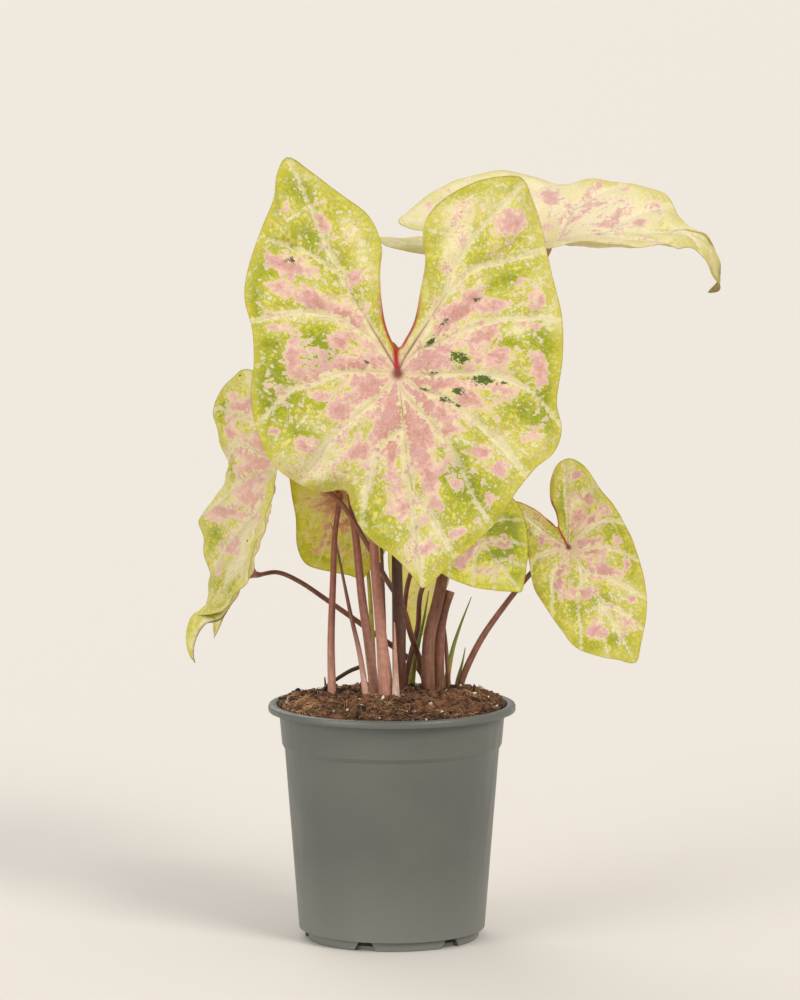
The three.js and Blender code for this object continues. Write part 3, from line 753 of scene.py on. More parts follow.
@dataclass
class Blade:
    """One leaf blade: flat outline, folds and pose.

    Attributes:
        at: the stalk's seat in the row frame.
        tip: the way the tip points.
        face: the way the upper face looks.
        length, notch: from the seat to the tip, and from the seat back to the notch.
        right, left: the halves, which a blade with its own shape and veins has no need of.
        shape, right_veins, left_veins: an outline and veins of the blade's own.
        bends: each (at, toward, turn, over, side): past a line through `at`, in the direction
            `toward`, the sheet turns by `turn` degrees spread over `over` millimetres.
        bumps: each (height, place round the margin, width).
        cup: depth and radius of the hollow over the stalk's seat.
        rays, rings: the sheet's points round the margin, and from the seat out to it.
        quilt: how strong the relief between the veins is.
        pink_seat: how pink the middle of the blade is.
        flush, red_width: how strong and how wide the red at the notch is.
        seed: what makes the blade's unevenness its own.
    """

    name: str
    at: tuple
    tip: tuple
    face: tuple
    length: float
    notch: float
    right: Half | None = None
    left: Half | None = None
    shape: list | None = None
    right_veins: list | None = None
    left_veins: list | None = None
    bends: list = field(default_factory=list)
    bumps: list = field(default_factory=list)
    cup: tuple = (2, 7)
    rays: int = 144
    rings: int = 44
    quilt: float = 0.5
    pink_seat: float = 0.1
    flush: float = 1.0
    red_width: float = 2.1
    seed: float = 1.0
    thickness: float = 0.5

    def outline(self) -> list[tuple[float, float]]:
        """Gives the whole outline, from the notch round the right half to the tip and back.

        Returns:
            The outline's points.
        """
        if self.shape:
            return self.shape
        right = self.right.outline(self.length, self.notch, 1)
        left = self.left.outline(self.length, self.notch, -1)
        return [(0, -self.notch), *right, (0, self.length), *left[::-1]]

    def margin(self) -> np.ndarray:
        """Gives `rays` points on the outline: half up to the tip, half after it.

        Returns:
            The points, as rows.
        """
        outline = self.outline()
        tip = PER_SPAN * int(np.argmax([u for _, u in outline]))
        curve = closed_spline(outline)
        curve = np.vstack([curve, curve[:1]])
        walked, half = lengths_along(curve), self.rays // 2
        return at_lengths(curve, walked, np.r_[np.linspace(0, walked[tip], half, endpoint=False),
                                               np.linspace(walked[tip], walked[-1], half, endpoint=False)])

    def flat_grid(self) -> np.ndarray:
        """Lays curved rays from the stalk's seat to the margin, as (rings + 1, rays, 2) points.

        A ray's heading at the seat is in degrees from the notch. In the back lobes it is up to 30
        degrees wider than the way to the ray's end, and no two rays come closer than `least`.

        Returns:
            The grid's points.
        """
        ends = self.margin()
        reach = np.linalg.norm(ends, axis=1)
        back = np.degrees(np.arccos(np.clip(-ends[:, 1] / reach, -1, 1)))
        heading = back + 30 * smooth(back, 70, 20) * (1 - np.exp(-(reach - reach[0]) / 12))
        half, least = self.rays // 2, 32 / self.rays
        for order in (range(1, half), range(self.rays - 1, half, -1)):
            last = 0.0
            for i in order:
                heading[i] = last = min(180.0, max(heading[i], last + least))
        heading[0], heading[half] = 0, 180
        sides = np.where(np.arange(self.rays) <= half, 1.0, -1.0)
        turn = np.radians(heading)
        pull = 0.5 * reach[:, None] * np.stack([np.sin(turn) * sides, -np.cos(turn)], -1)
        pull[half] = ends[half] / 2
        s = (np.arange(self.rings + 1) / self.rings)[:, None, None]
        return 2 * s * (1 - s) * pull + s * s * ends

    def veins(self, side: int) -> list[np.ndarray]:
        """Gives the midrib and one half's veins as smooth lines.

        Args:
            side: 1 for the right half, -1 for the left.

        Returns:
            The midrib, then the half's veins.
        """
        own, half = (self.right_veins, self.right) if side > 0 else (self.left_veins, self.left)
        midrib = np.array([(0.0, 0.0), (0.0, float(self.length))])
        return [midrib, *(open_spline(run, VEIN_POINTS) for run in own or half.veins(self.length, side))]

    def vein_field(self, points: np.ndarray) -> tuple[np.ndarray, np.ndarray, np.ndarray]:
        """Says where each point of the flat blade lies in the row of veins.

        Args:
            points: places on the flat blade.

        Returns:
            Its number in the row (whole numbers are veins, and the sign is the half's), the gap
            between the veins on both sides of it, and the way to the nearer one.
        """
        number, gap, nearest = np.zeros(len(points)), np.ones(len(points)), np.zeros(len(points))
        for side in (1, -1):
            mine = points[:, 0] >= 0 if side > 0 else points[:, 0] < 0
            p, lines = points[mine], self.veins(side)
            ways, past = zip(*(way_and_side(p, line) for line in lines))
            ways = np.stack([*ways, np.full(len(p), 1e3)])
            passed = sum((s * side < 0).astype(int) for s in past[1:])
            row = np.arange(len(p))
            before, after = ways[passed, row], ways[passed + 1, row]
            last = passed == len(lines) - 1
            share = np.where(last, 0.49 * (1 - np.exp(-before / 12)),
                             before / np.maximum(before + after, 1e-6))
            number[mine] = side * (passed + share)
            gap[mine] = np.where(last, before / np.maximum(share, 1e-4), before + after)
            nearest[mine] = np.where(last, before, np.minimum(before, after))
        return number, gap, nearest

    def gathered(self, points: np.ndarray, kind: str) -> np.ndarray:
        """Adds up the blade's soft patches of one kind.

        Args:
            points: places on the flat blade.
            kind: which patches: blushes, flecks, creams, or greens, some of which are painted shade.

        Returns:
            The strength at each point.
        """
        strengths = np.zeros(len(points))
        for v, u, long, wide, turn, *own in MARKS.get(self.name, {}).get(kind, ()):
            c, s = math.cos(math.radians(turn)), math.sin(math.radians(turn))
            x, y = points[:, 0] - v, points[:, 1] - u
            reach = np.hypot((x * c + y * s) / long, (-x * s + y * c) / wide)
            strengths += (own[0] if own else USUAL[kind]) * np.exp(-reach ** 2.4)
        return strengths

    def raised(self, flat: np.ndarray, number: np.ndarray, gap: np.ndarray, way: np.ndarray) -> np.ndarray:
        """Lifts the flat sheet: margin bumps, the hollow over the seat, and quilting between veins.

        Args:
            flat: the grid of flat points.
            number, gap, way: the vein field at those points.

        Returns:
            The height of each point.
        """
        rings, rays = flat.shape[:2]
        s = (np.arange(rings) / (rings - 1))[:, None]
        t = (np.arange(rays) / rays)[None, :]
        v, u = flat[..., 0], flat[..., 1]
        reach = np.hypot(v, u)
        depth, radius = self.cup
        height = -depth * np.exp(-(reach / radius) ** 1.5)
        for rise, centre, width in self.bumps:
            away = (t - centre + 0.5) % 1 - 0.5
            height += rise * s ** 2.5 * np.exp(-(away / width) ** 2)

        # Relief, calmer near the seat and along the margin, and then the margin's own ruffles.
        between = np.abs(number) % 1
        pillow = np.clip(gap, 0, FULL_PILLOW) / FULL_PILLOW * 4 * between * (1 - between)
        valley = np.exp(-(way / 1.5) ** 2)
        swell = (np.sin(0.23 * v + 0.11 * u + self.seed) * np.cos(0.19 * u - 0.08 * v + 2 * self.seed)
                 + 0.5 * np.sin(0.47 * u + 0.31 * v + 3 * self.seed))
        veinlets = pillow * np.cos(2 * np.pi * (reach - 0.8 * way) / VEINLETS_APART)
        relief = 1.5 * pillow - 0.5 * valley + 0.45 * swell + 0.16 * veinlets
        calm = smooth(reach, 3, 18) * (1 - 0.7 * smooth(s, 0.9, 1.0))
        turn = 2 * np.pi * t
        long_waves = np.sin(9 * turn + self.seed)
        ruffle = np.sin(17 * turn + self.seed) + 0.6 * np.sin(29 * turn + 2 * self.seed)
        return height + self.quilt * (relief * calm + 0.7 * s ** 4 * long_waves + 0.4 * s ** 7 * ruffle)

    def folded(self, p: np.ndarray) -> np.ndarray:
        """Folds the raised sheet along each of its bends, in order.

        Args:
            p: the raised sheet's points.

        Returns:
            The folded sheet's points.
        """
        for at, toward, turn, over, *side in self.bends:
            c, s = math.cos(math.radians(toward)), math.sin(math.radians(toward))
            x, y, n = p[..., 0] - at[0], p[..., 1] - at[1], p[..., 2]
            d, along = x * c + y * s, -x * s + y * c
            whole = math.radians(turn)
            a = whole / over * np.clip(d, 0, over)
            past = np.maximum(d - over, 0)
            across = np.sin(a) * over / whole + past * math.cos(whole) - n * np.sin(a)
            height = (1 - np.cos(a)) * over / whole + past * math.sin(whole) + n * np.cos(a)
            across, height = np.where(d > 0, across, d), np.where(d > 0, height, n)
            q = np.stack([at[0] + across * c - along * s, at[1] + across * s + along * c, height], -1)
            keep = p[..., 0] * side[0] < 0 if side else np.zeros(d.shape, bool)
            p = np.where(keep[..., None], p, q)
        return p

    def axes(self) -> tuple[np.ndarray, np.ndarray, np.ndarray]:
        """Gives the blade's across, along and upward directions in the row frame.

        Returns:
            Three unit vectors.
        """
        t = np.array(self.tip, float) / np.linalg.norm(self.tip)
        n = np.array(self.face, float)
        n -= t * (n @ t)
        n /= np.linalg.norm(n)
        return np.cross(n, t), t, n

    def placed(self, p: np.ndarray) -> np.ndarray:
        """Moves the folded sheet to its place in the row frame."""
        s, t, n = self.axes()
        return np.array(self.at, float) + p[..., :1] * s + p[..., 1:2] * t + p[..., 2:3] * n

    def seat(self) -> tuple[np.ndarray, np.ndarray]:
        """Gives the stalk's seat under the blade, and the way the blade faces there."""
        middle = self.folded(np.array([[0.0, 0.0, -self.cup[0]]]))
        return self.placed(middle)[0], self.axes()[2]

    def build(self) -> bpy.types.Object:
        """Makes the blade: both faces and the rim, with what its finish reads at each vertex.

        Returns:
            The blade, at its place.
        """
        flat = self.flat_grid()
        rings, rays = self.rings, self.rays
        number, gap, way = (part.reshape(rings + 1, rays) for part in self.vein_field(flat.reshape(-1, 2)))
        height = self.raised(flat, number, gap, way)
        sheet = self.placed(self.folded(np.concatenate([flat, height[..., None]], -1)))

        # The seat is one vertex, and the rings follow it.
        keep = np.r_[0, rays:(rings + 1) * rays]
        sheet, points = sheet.reshape(-1, 3)[keep], flat.reshape(-1, 2)[keep]
        number, gap = number.ravel()[keep], gap.ravel()[keep]
        number[0], gap[0] = 0.0, 1.0
        rim = np.hypot(*(points[:, None] - points[-rays:]).transpose(2, 0, 1)).min(axis=1)

        quads, fan = ring_faces(rings, rays, 1), fan_faces(0, 1, rays, turned=True)
        n = len(sheet)
        a = np.arange(n - rays, n)
        b = np.roll(a, -1)
        edge = np.stack([a + n, b + n, b, a], -1)
        half = self.thickness / 2 * (0.35 + 0.65 * smooth(rim, 0, 2.0))
        out = half[:, None] * self.sheet_normals(sheet, quads)
        piece = mesh_piece(f"leaf_{self.name}", np.concatenate([sheet + out, sheet - out]),
                           quads, fan, quads[:, ::-1] + n, fan[:, ::-1] + n, edge)

        lobe = np.round(number) == np.where(number >= 0, len(self.veins(1)) - 1, 1 - len(self.veins(-1)))
        upper = np.r_[np.ones(n), np.zeros(n)]
        store(piece, "flat", np.column_stack([np.tile(points, (2, 1)), upper]))
        for name, values in {
            "veins": (number, gap, rim),
            "marks": (self.blush(points, rim), self.gathered(points, "flecks"), self.red_edge(points, rim)),
            "tints": (self.gathered(points, "creams"), self.gathered(points, "greens"), lobe.astype(float)),
        }.items():
            store(piece, name, np.tile(np.column_stack(values), (2, 1)))
        return piece

    def blush(self, points: np.ndarray, rim: np.ndarray) -> np.ndarray:
        """Gives the pink at each point, from its place on the blade and its way to the margin.

        Args:
            points: places on the flat blade.
            rim: their ways to the margin.

        Returns:
            The strength at each point.
        """
        reach = np.hypot(*points.T)
        return (self.pink_seat * np.exp(-(reach / (0.42 * self.length)) ** 2) - 0.22 * smooth(rim, 9, 2)
                + self.gathered(points, "blushes"))

    def red_edge(self, points: np.ndarray, rim: np.ndarray) -> np.ndarray:
        """Gives the red round the notch and on the short line from it to the stalk's seat.

        Args:
            points: places on the flat blade.
            rim: their ways to the margin.

        Returns:
            The strength at each point.
        """
        wide, notch = self.red_width, self.notch
        v, u = points.T
        from_notch = np.hypot(v, u + notch)
        edge = (smooth(rim, wide, 0.4 * wide) * smooth(from_notch, 3.0 * notch, 0.9 * notch)
                * smooth(u, 0, -0.5 * notch))
        line = (smooth(np.abs(v), 0.08 * wide * notch, 0.03 * wide * notch) * smooth(u, 1, -2)
                * smooth(u, -1.3 * notch, -notch))
        return self.flush * np.maximum(edge, line)

    @staticmethod
    def sheet_normals(sheet: np.ndarray, quads: np.ndarray) -> np.ndarray:
        """Gives the sheet's upward direction at each vertex.

        Args:
            sheet: its points.
            quads: its faces.

        Returns:
            A unit vector for each point.
        """
        a, b, c, d = (sheet[quads[:, k]] for k in range(4))
        face = -np.cross(c - a, d - b)
        normals = np.zeros_like(sheet)
        for k in range(4):
            np.add.at(normals, quads[:, k], face)
        # The seat takes the direction of points beside it.
        normals[0] = normals[1:20].sum(0)
        return -normals / np.linalg.norm(normals, axis=1, keepdims=True)


# ---------------------------------------------------------------- stalks and shoots

@dataclass
class Stem:
    """A round stem on a smooth course: leaf stalk, rolled shoot or sheath.

    Attributes:
        path: its course, from where it leaves the mix.
        foot, top: its radius at the foot and at the top.
        flare: how much wider the top opens into the blade, over the last `flare_length`.
        sheath: how much wider the foot is, over the first `sheath_length`.
        buried: how far it goes on straight down into the mix.
        sides, steps: the tube's points round and along.
        roll: how deep the seam of a rolled leaf is, in radii.
    """

    name: str
    path: list
    foot: float
    top: float
    skin: Skin
    flare: float = 0.0
    flare_length: float = 6.0
    sheath: float = 0.0
    sheath_length: float = 26.0
    buried: float = 12.0
    sides: int = 20
    steps: int = 72
    roll: float = 0.0

    def build(self) -> bpy.types.Object:
        """Makes the stem as a closed tube, with its skin's own coordinates.

        Returns:
            The stem, at its place.
        """
        first = np.array(self.path[0], float)
        path = [first - [0, 0, self.buried], *[np.array(p, float) for p in self.path]]
        line = open_spline(path, self.steps + 1)
        walked = lengths_along(line)
        out = np.maximum(walked - self.buried, 0)
        length = out[-1]
        radius = self.foot + (self.top - self.foot) * (out / length) ** 0.9
        radius += self.sheath * smooth(out, self.sheath_length, 0.35 * self.sheath_length)
        radius += self.flare * np.clip((out - length + self.flare_length) / self.flare_length, 0, 1) ** 2.5
        tangent = np.gradient(line, axis=0)
        tangent /= np.linalg.norm(tangent, axis=1, keepdims=True)
        across = np.cross(tangent[0], [0.3, 1, 0.1])
        rows = []
        angles = 2 * np.pi * np.arange(self.sides) / self.sides
        # The section is not quite round, and a rolled leaf's seam runs along it at 4.2 radians.
        for i, t in enumerate(tangent):
            across = across - t * (across @ t)
            across /= np.linalg.norm(across)
            up = np.cross(t, across)
            lobes = 1 + 0.05 * np.cos(2 * angles + 0.012 * walked[i]) + 0.03 * np.cos(3 * angles + 1)
            lobes -= self.roll * np.exp(-((angles - 4.2) / 0.35) ** 2)
            ring = np.cos(angles)[:, None] * across + np.sin(angles)[:, None] * up
            rows.append(line[i] + ring * (radius[i] * lobes)[:, None])
        n = self.sides
        points = np.vstack([*rows, line[:1], line[-1:]])
        top = self.steps * n
        piece = mesh_piece(self.name, points, ring_faces(self.steps + 1, n),
                           fan_faces(len(points) - 2, 0, n, turned=True), fan_faces(len(points) - 1, top, n))
        round_skin = self.foot * np.column_stack([np.cos(angles), np.sin(angles)])
        skin = np.column_stack([np.tile(round_skin, (self.steps + 1, 1)), np.repeat(walked, n)])
        ends = np.array([[0, 0, 0], [0, 0, walked[-1]]])
        store(piece, "skin", np.vstack([skin, ends]) + [hash_of(self.name), 0, 0])
        rise = np.r_[np.repeat(out / length, n), 0, 1]
        attribute = piece.data.attributes.new("rise", "FLOAT", "POINT")
        attribute.data.foreach_set("value", rise.astype(np.float32))
        return piece


def hash_of(name: str) -> float:
    """Turns a name to a fixed number under 100, so that each stem has its own streaks."""
    return sum((i + 1) * ord(c) for i, c in enumerate(name)) % 997 / 10


FRONT_SHAPE = [
    (1, -12), (6, -17), (11, -25), (15, -38), (19, -52), (19, -64), (23, -74), (33, -82.5), (47, -88),
    (60, -89.5), (70, -88), (74, -78), (77, -63), (79, -40), (81, -18), (79, 2), (74, 22), (75, 35),
    (70, 46), (60, 53), (50, 63), (40, 75), (28, 85), (16, 93), (6, 101), (0, 104), (-4, 98), (-12, 87),
    (-20, 80), (-26, 71), (-29, 60.5), (-31, 52), (-42, 51), (-53, 46.5), (-64, 37), (-70, 20), (-71, 2),
    (-68, -12), (-67, -28), (-69, -44), (-65, -60), (-57, -77), (-50, -90), (-47, -102), (-41, -109.5),
    (-31, -101), (-17, -88.5), (-5.5, -77), (-1, -62), (-3, -50), (-4, -36), (-3, -22),
]
FRONT_RIGHT_VEINS = [
    [(0, 0), (0, 50), (4, 62), (11, 76), (17, 90)],
    [(0, 0), (2, 10), (11, 22), (19, 35), (25, 49), (30, 65), (36, 76)],
    [(0, 0), (8, 8), (20, 14), (33, 26), (43, 37), (50, 47), (56, 58)],
    [(0, 0), (13, 2), (27, 3), (44, 6), (54, 10), (65, 19), (74, 32)],
    [(0, 0), (9, -9), (21, -13), (38, -18), (54, -20), (71, -19), (80, -16)],
    [(0, 0), (6, -9), (15, -20), (25, -33), (41, -46), (55, -48), (74, -52)],
    [(0, 0), (6, -9), (15, -20), (26, -34), (32, -47), (43, -61), (55, -72), (68, -84)],
]
FRONT_LEFT_VEINS = [
    [(0, 0), (0, 24), (-9, 32), (-16, 41), (-21, 54), (-24, 66)],
    [(0, 0), (-8, 8), (-17, 15), (-26, 21), (-36, 29), (-44, 38), (-51, 45)],
    [(0, 0), (-11, -2), (-27, -3), (-40, 0), (-53, 3), (-66, 14)],
    [(0, 0), (-6, -13), (-10, -18), (-19, -25), (-27, -30), (-40, -34), (-53, -34), (-66, -32)],
    [(0, 0), (-7, -16), (-12, -27), (-21, -48), (-31, -58), (-41, -65), (-58, -72)],
    [(0, 0), (-7, -16), (-12, -27), (-18, -40), (-21, -51), (-26, -61), (-29, -70), (-32, -82), (-40, -106)],
]
UPPER_RIGHT_SHAPE = [
    (0, -9), (4, -25), (7, -41), (12.4, -59), (18, -68), (26, -74), (33.5, -71.5), (43, -59.5),
    (50, -46), (53.5, -30), (51.5, -12), (47, 7), (46, 21), (40, 41), (33.5, 56), (25.5, 62), (12, 65.5),
    (3.5, 71), (2, 81), (4, 95), (4.2, 109), (0, 130), (-4.4, 109), (-5.5, 93), (-8, 81), (-14.5, 71),
    (-23.5, 64.5), (-33, 56), (-38.5, 43), (-40.5, 25), (-38.5, 1), (-36.5, -31), (-32, -57), (-27, -71),
    (-18, -80), (-8, -80), (-3, -70), (-1.5, -53), (-1.2, -25),
]
LOWER_LEFT_SHAPE = [
    (0, -8), (5, -16), (12, -26), (18, -25), (21.6, -7), (23, 5), (26.2, 18), (24, 28), (12.5, 35.4),
    (6, 38.8), (0.5, 42.5), (-5, 39.5), (-12, 35.5), (-18, 26), (-22, 8), (-22, -6), (-20, -19),
    (-14, -27), (-7, -21),
]
RIGHT_SHAPE = [
    (0, -11), (3, -18), (4, -25), (9, -33), (16, -38), (23, -37), (27, -30), (28, -16), (30, -2),
    (29, 12), (26, 26), (22, 38), (15, 49), (7, 58), (0, 65), (-8, 59), (-16, 52), (-22, 44), (-24, 35),
    (-25, 22), (-25, 8), (-20, -6), (-17, -18), (-17, -27), (-18, -34), (-11, -32), (-5, -24), (-2, -16),
]

# Patches of colour, each (across, along, half length, half width, turn) and, where it isn't the usual
# one, its strength; some of the green patches are painted shade. The usual strengths follow.
USUAL = {"blushes": 0.41, "flecks": 0.6, "creams": 0.4, "greens": 0.35}
MARKS = {
    "front": {
        "blushes": [
            # Right back lobe, then the right side.
            (61, -66, 10, 6, -30), (30, -26, 7, 4, 0), (46, -27, 11, 3, 0), (39, -33, 4, 3, 0),
            (23, -16, 5, 3, 90), (30, -46, 4, 2, 60), (41, -13, 8, 4, -15), (16, -5, 9, 5, -15),
            (47, -2, 11, 4, 0), (68, -15, 7, 2, 15), (72, -29, 5, 3, 90), (68, 7, 10, 4, 90),
            (15, 6, 13, 3, 15),
            # Right half towards the tip, then both sides of the midrib.
            (33, 17, 8, 4, 30), (50, 14, 8, 3, 15), (13, 16, 13, 3, 45), (20, 30, 4, 3, 15),
            (35, 42, 5, 3, 0), (21, 56, 4, 3, 15), (44, 51, 4, 3, 90), (38, 66, 4, 3, 0),
            (20, 79, 4, 3, 0), (6, 30, 21, 6, 80), (-6, 33, 22, 3, -80), (10, 58, 15, 4, 75, 0.3),
            (-6, 66, 6, 4, 90), (4, 72, 5, 4, 90, 0.3), (5, 84, 4, 3, 0, 0.3),
            # Left half towards the tip, then the left side and its back lobe.
            (-13, 5, 8, 5, -15), (-29, 15, 5, 5, 0), (-37, 8, 4, 2, 0), (-9, 24, 17, 5, -70),
            (-23, 35, 6, 4, 0), (-48, 30, 5, 4, 0), (-63, 22, 3, 2, 0), (-26, -5, 21, 4, 0, 0.36),
            (-26, -17, 5, 4, 90), (-50, -14, 7, 4, 90), (-54, -27, 6, 2, 15), (-21, -29, 7, 3, 30),
            (-41, -42, 21, 4, 25), (-48, -58, 12, 4, 25), (-28, -76, 6, 3, 60), (-45, -86, 4, 3, 90),
            (-16, -48, 5, 3, -30, 0.3)],
        "flecks": [
            (30, -4, 6, 3, 20), (40, 8, 7, 3, 10), (50, 11, 3, 1, 0), (27, 12, 5, 2, 25),
            (21, 15, 4, 2, 45), (17, 2, 5, 1, 0), (17, -13, 4, 2, -45), (25, -22, 4, 1, -30),
            (41, -31, 2, 1, 0), (12, 9, 3, 1, 30), (27, 19, 3, 1, 45), (-45, -59, 4, 2, 15),
            (-57, -20, 2, 1, 0), (-14, -7, 2, 1, 0)],
        "creams": [
            (-39, 38, 16, 6, -25, 0.5), (34, -61, 19, 6, -70, 0.5), (-11, -55, 22, 6, 70),
            (-14, -70, 8, 6, 90), (-47, 1, 17, 4, -15), (-44, -31, 22, 3, 15), (45, 37, 12, 6, 40),
            (22, 28, 14, 4, 65),
            (8, 62, 19, 4, 90, 0.3), (-4, 90, 10, 6, 90), (60, -14, 10, 3, 0), (-2, 47, 29, 2, 90, 0.3),
            (-59, 39, 8, 3, 35), (-30, 45, 9, 7, 15), (46, -77, 10, 5, 15, 0.2)],
        "greens": [
            (-35, -16, 12, 8, 10, 0.8), (-59, 0, 16, 12, 90, 0.65), (-60, -20, 5, 3, 0),
            (-64, -42, 14, 3, 90), (-34, 12, 6, 4, 0), (69, -6, 14, 6, 90), (60, 26, 11, 5, 40, 0.45),
            (68, 21, 14, 4, 90),
            (28, 60, 14, 9, 50, 0.45), (41, 75, 7, 6, 0), (22, 45, 10, 7, 90), (-55, -56, 7, 6, 15),
            # (34, -83), on the right lobe's top edge, is partly painted shade, where that edge curls back.
            (-34, -68, 9, 4, 60), (-37, -93, 9, 6, 45, 0.3), (56, -39, 9, 3, -20), (34, -83, 14, 4, -15, 0.3),
            (52, -8, 9, 3, 10), (-50, 23, 5, 4, 0), (32, 2, 12, 5, 0, 0.25), (-14, -37, 5, 3, 15, 0.2),
            # These two, on the left margin near the tip, are painted shade where the margin curls back.
            (-25, 67, 6, 4, 45, 0.7), (-19, 79, 5, 3, 45, 0.7)],
    },
    "upper_right": {
        "blushes": [
            # Near half, from the stalk's seat towards the tip, then its back lobe and the far half.
            (5, 9, 3, 2, -45), (10, 1, 4, 2, 90), (13, 8, 3, 3, 30), (12, 15, 5, 2, 90), (22, 11, 4, 2, 0),
            (32, 1, 8, 4, -15, 0.5), (26, 21, 8, 3, 15, 0.5), (22, 26, 4, 2, 90), (39, 26, 3, 2, 0),
            (35, 39, 4, 2, -60), (14, 35, 6, 2, 0), (7, 31, 10, 2, 90), (8, 46, 4, 3, -45),
            (19, 54, 4, 3, 0), (36, -59, 6, 2, -30), (45, -53, 4, 2, -45), (-3, 26, 5, 2, 0),
            (0, 35, 3, 2, -45), (-31, 54, 9, 3, 0)],
        "creams": [(20, 7, 12, 10, -45, 0.5), (15, 22, 16, 5, 55), (15, 51, 13, 10, -60, 0.2),
                   (25, -57, 8, 5, -45), (26, 31, 15, 7, 90, 0.2)],
        "greens": [(27, 56, 10, 6, 90, 0.15), (-15, 46, 15, 9, -45, 0.15)],
    },
    "left": {
        "blushes": [
            (-29, -22, 10, 4, -30, 0.5), (-14, -6, 16, 5, -20, 0.5), (-18, 10, 12, 8, 0, 0.5),
            (-9, 2, 6, 4, 0),
            (-6, 21, 15, 4, 0), (-10, 29, 16, 2, 0), (-32, 30, 8, 3, -30), (-18, 42, 10, 4, 30),
            (-21, 47, 9, 2, 0), (-23, 58, 6, 3, 15), (-35, -29, 4, 2, 0), (-33, -10, 6, 2, 15),
            (-42, 2, 6, 3, 0)],
        "flecks": [(-33, -38, 1, 1, 0), (-4, 41, 2, 1, 0)],
        "creams": [(-16, 18, 19, 4, -50, 0.5), (-8, 51, 25, 4, 90, 0.5), (-25, 1, 5, 3, 0, 0.3),
                   (-27, -37, 5, 3, 0, 0.2)],
        "greens": [(-40, -21, 8, 6, 70), (-32, 8, 15, 5, 0), (-32, 41, 8, 6, 60), (-23, 65, 34, 5, 0, 0.25),
                   (-17, 24, 5, 3, 90)],
    },
    "right": {
        "blushes": [
            # Right half from its back lobe to the tip, then the left half.
            (21, -29, 4, 2, 30), (10, -19, 3, 2, -60), (20, -16, 6, 3, 60), (11, -10, 6, 4, 0),
            (17, -6, 4, 2, 0), (25, -6, 4, 3, 90), (9, 6, 8, 5, 30), (23, 9, 3, 3, -60), (8, 19, 8, 4, 50),
            (21, 22, 3, 2, -60), (14, 38, 3, 2, 30), (7, 46, 6, 3, 50), (-4, -2, 6, 2, 70),
            (-10, -10, 4, 2, -60), (-8, 7, 3, 3, -30), (-13, 13, 5, 2, -60), (-6, 23, 8, 3, 20),
            (-9, 42, 5, 4, 30)],
        "creams": [(-7, -21, 8, 5, 70, 0.6), (18, -29, 14, 2, -60), (-16, 7, 12, 3, 10), (18, 12, 4, 4, 0),
                   (2, 27, 10, 2, -60, 0.2), (15, 30, 8, 2, 65, 0.3), (-18, 31, 14, 2, -60, 0.2)],
        "greens": [(9, -23, 6, 2, -60), (5, -15, 4, 2, -60), (24, 4, 6, 5, -60), (23, 20, 7, 4, -60),
                   (0, 30, 7, 5, 60), (-12, 26, 5, 4, -60), (-16, 47, 8, 3, 40), (-4, 50, 7, 4, 30)],
    },
    "lower_right": {
        "blushes": [
            (6, 13, 6, 2, 45, 0.5), (9, 16, 4, 2, -50, 0.5), (7, 24, 2, 2, 0), (-9, 9, 3, 3, 30, 0.5),
            (-15, 11, 4, 3, 30, 0.5), (-12, 18, 3, 2, 30), (-6, 23, 4, 2, 60), (-2, 7, 3, 2, -15)],
        "creams": [(-2, 11, 3, 2, 30, 0.5), (0, 21, 9, 1, 90, 0.5), (6, 28, 5, 1, 45, 0.5)],
        # These green patches are painted shadow of the front leaf on this blade's upper right; the last one,
        # of negative strength, paints light on its lit lower left.
        "greens": [(15, 11, 10, 5, 30, 0.6), (4, 19, 6, 3, 30, 0.7), (12, 19, 5, 4, -30), (5, 33, 5, 4, 30),
                   (-9, 23, 12, 5, 45, -0.4)],
    },
    "lower_left": {
        "blushes": [(1, 13, 5, 3, -75, 0.5), (11, 18, 6, 2, 60, 0.5), (6, 3, 5, 4, -20), (4, -2, 5, 2, -15),
                    (15, -3, 2, 1, 0), (20, 15, 2, 2, -60, 0.3)],
        "creams": [(20, 6, 14, 1, 80), (3, 34, 3, 2, -20, 0.6)],
        "greens": [(23, 3, 11, 2, 75, 0.2), (13, 29, 10, 3, -30, 0.25)],
    },
}


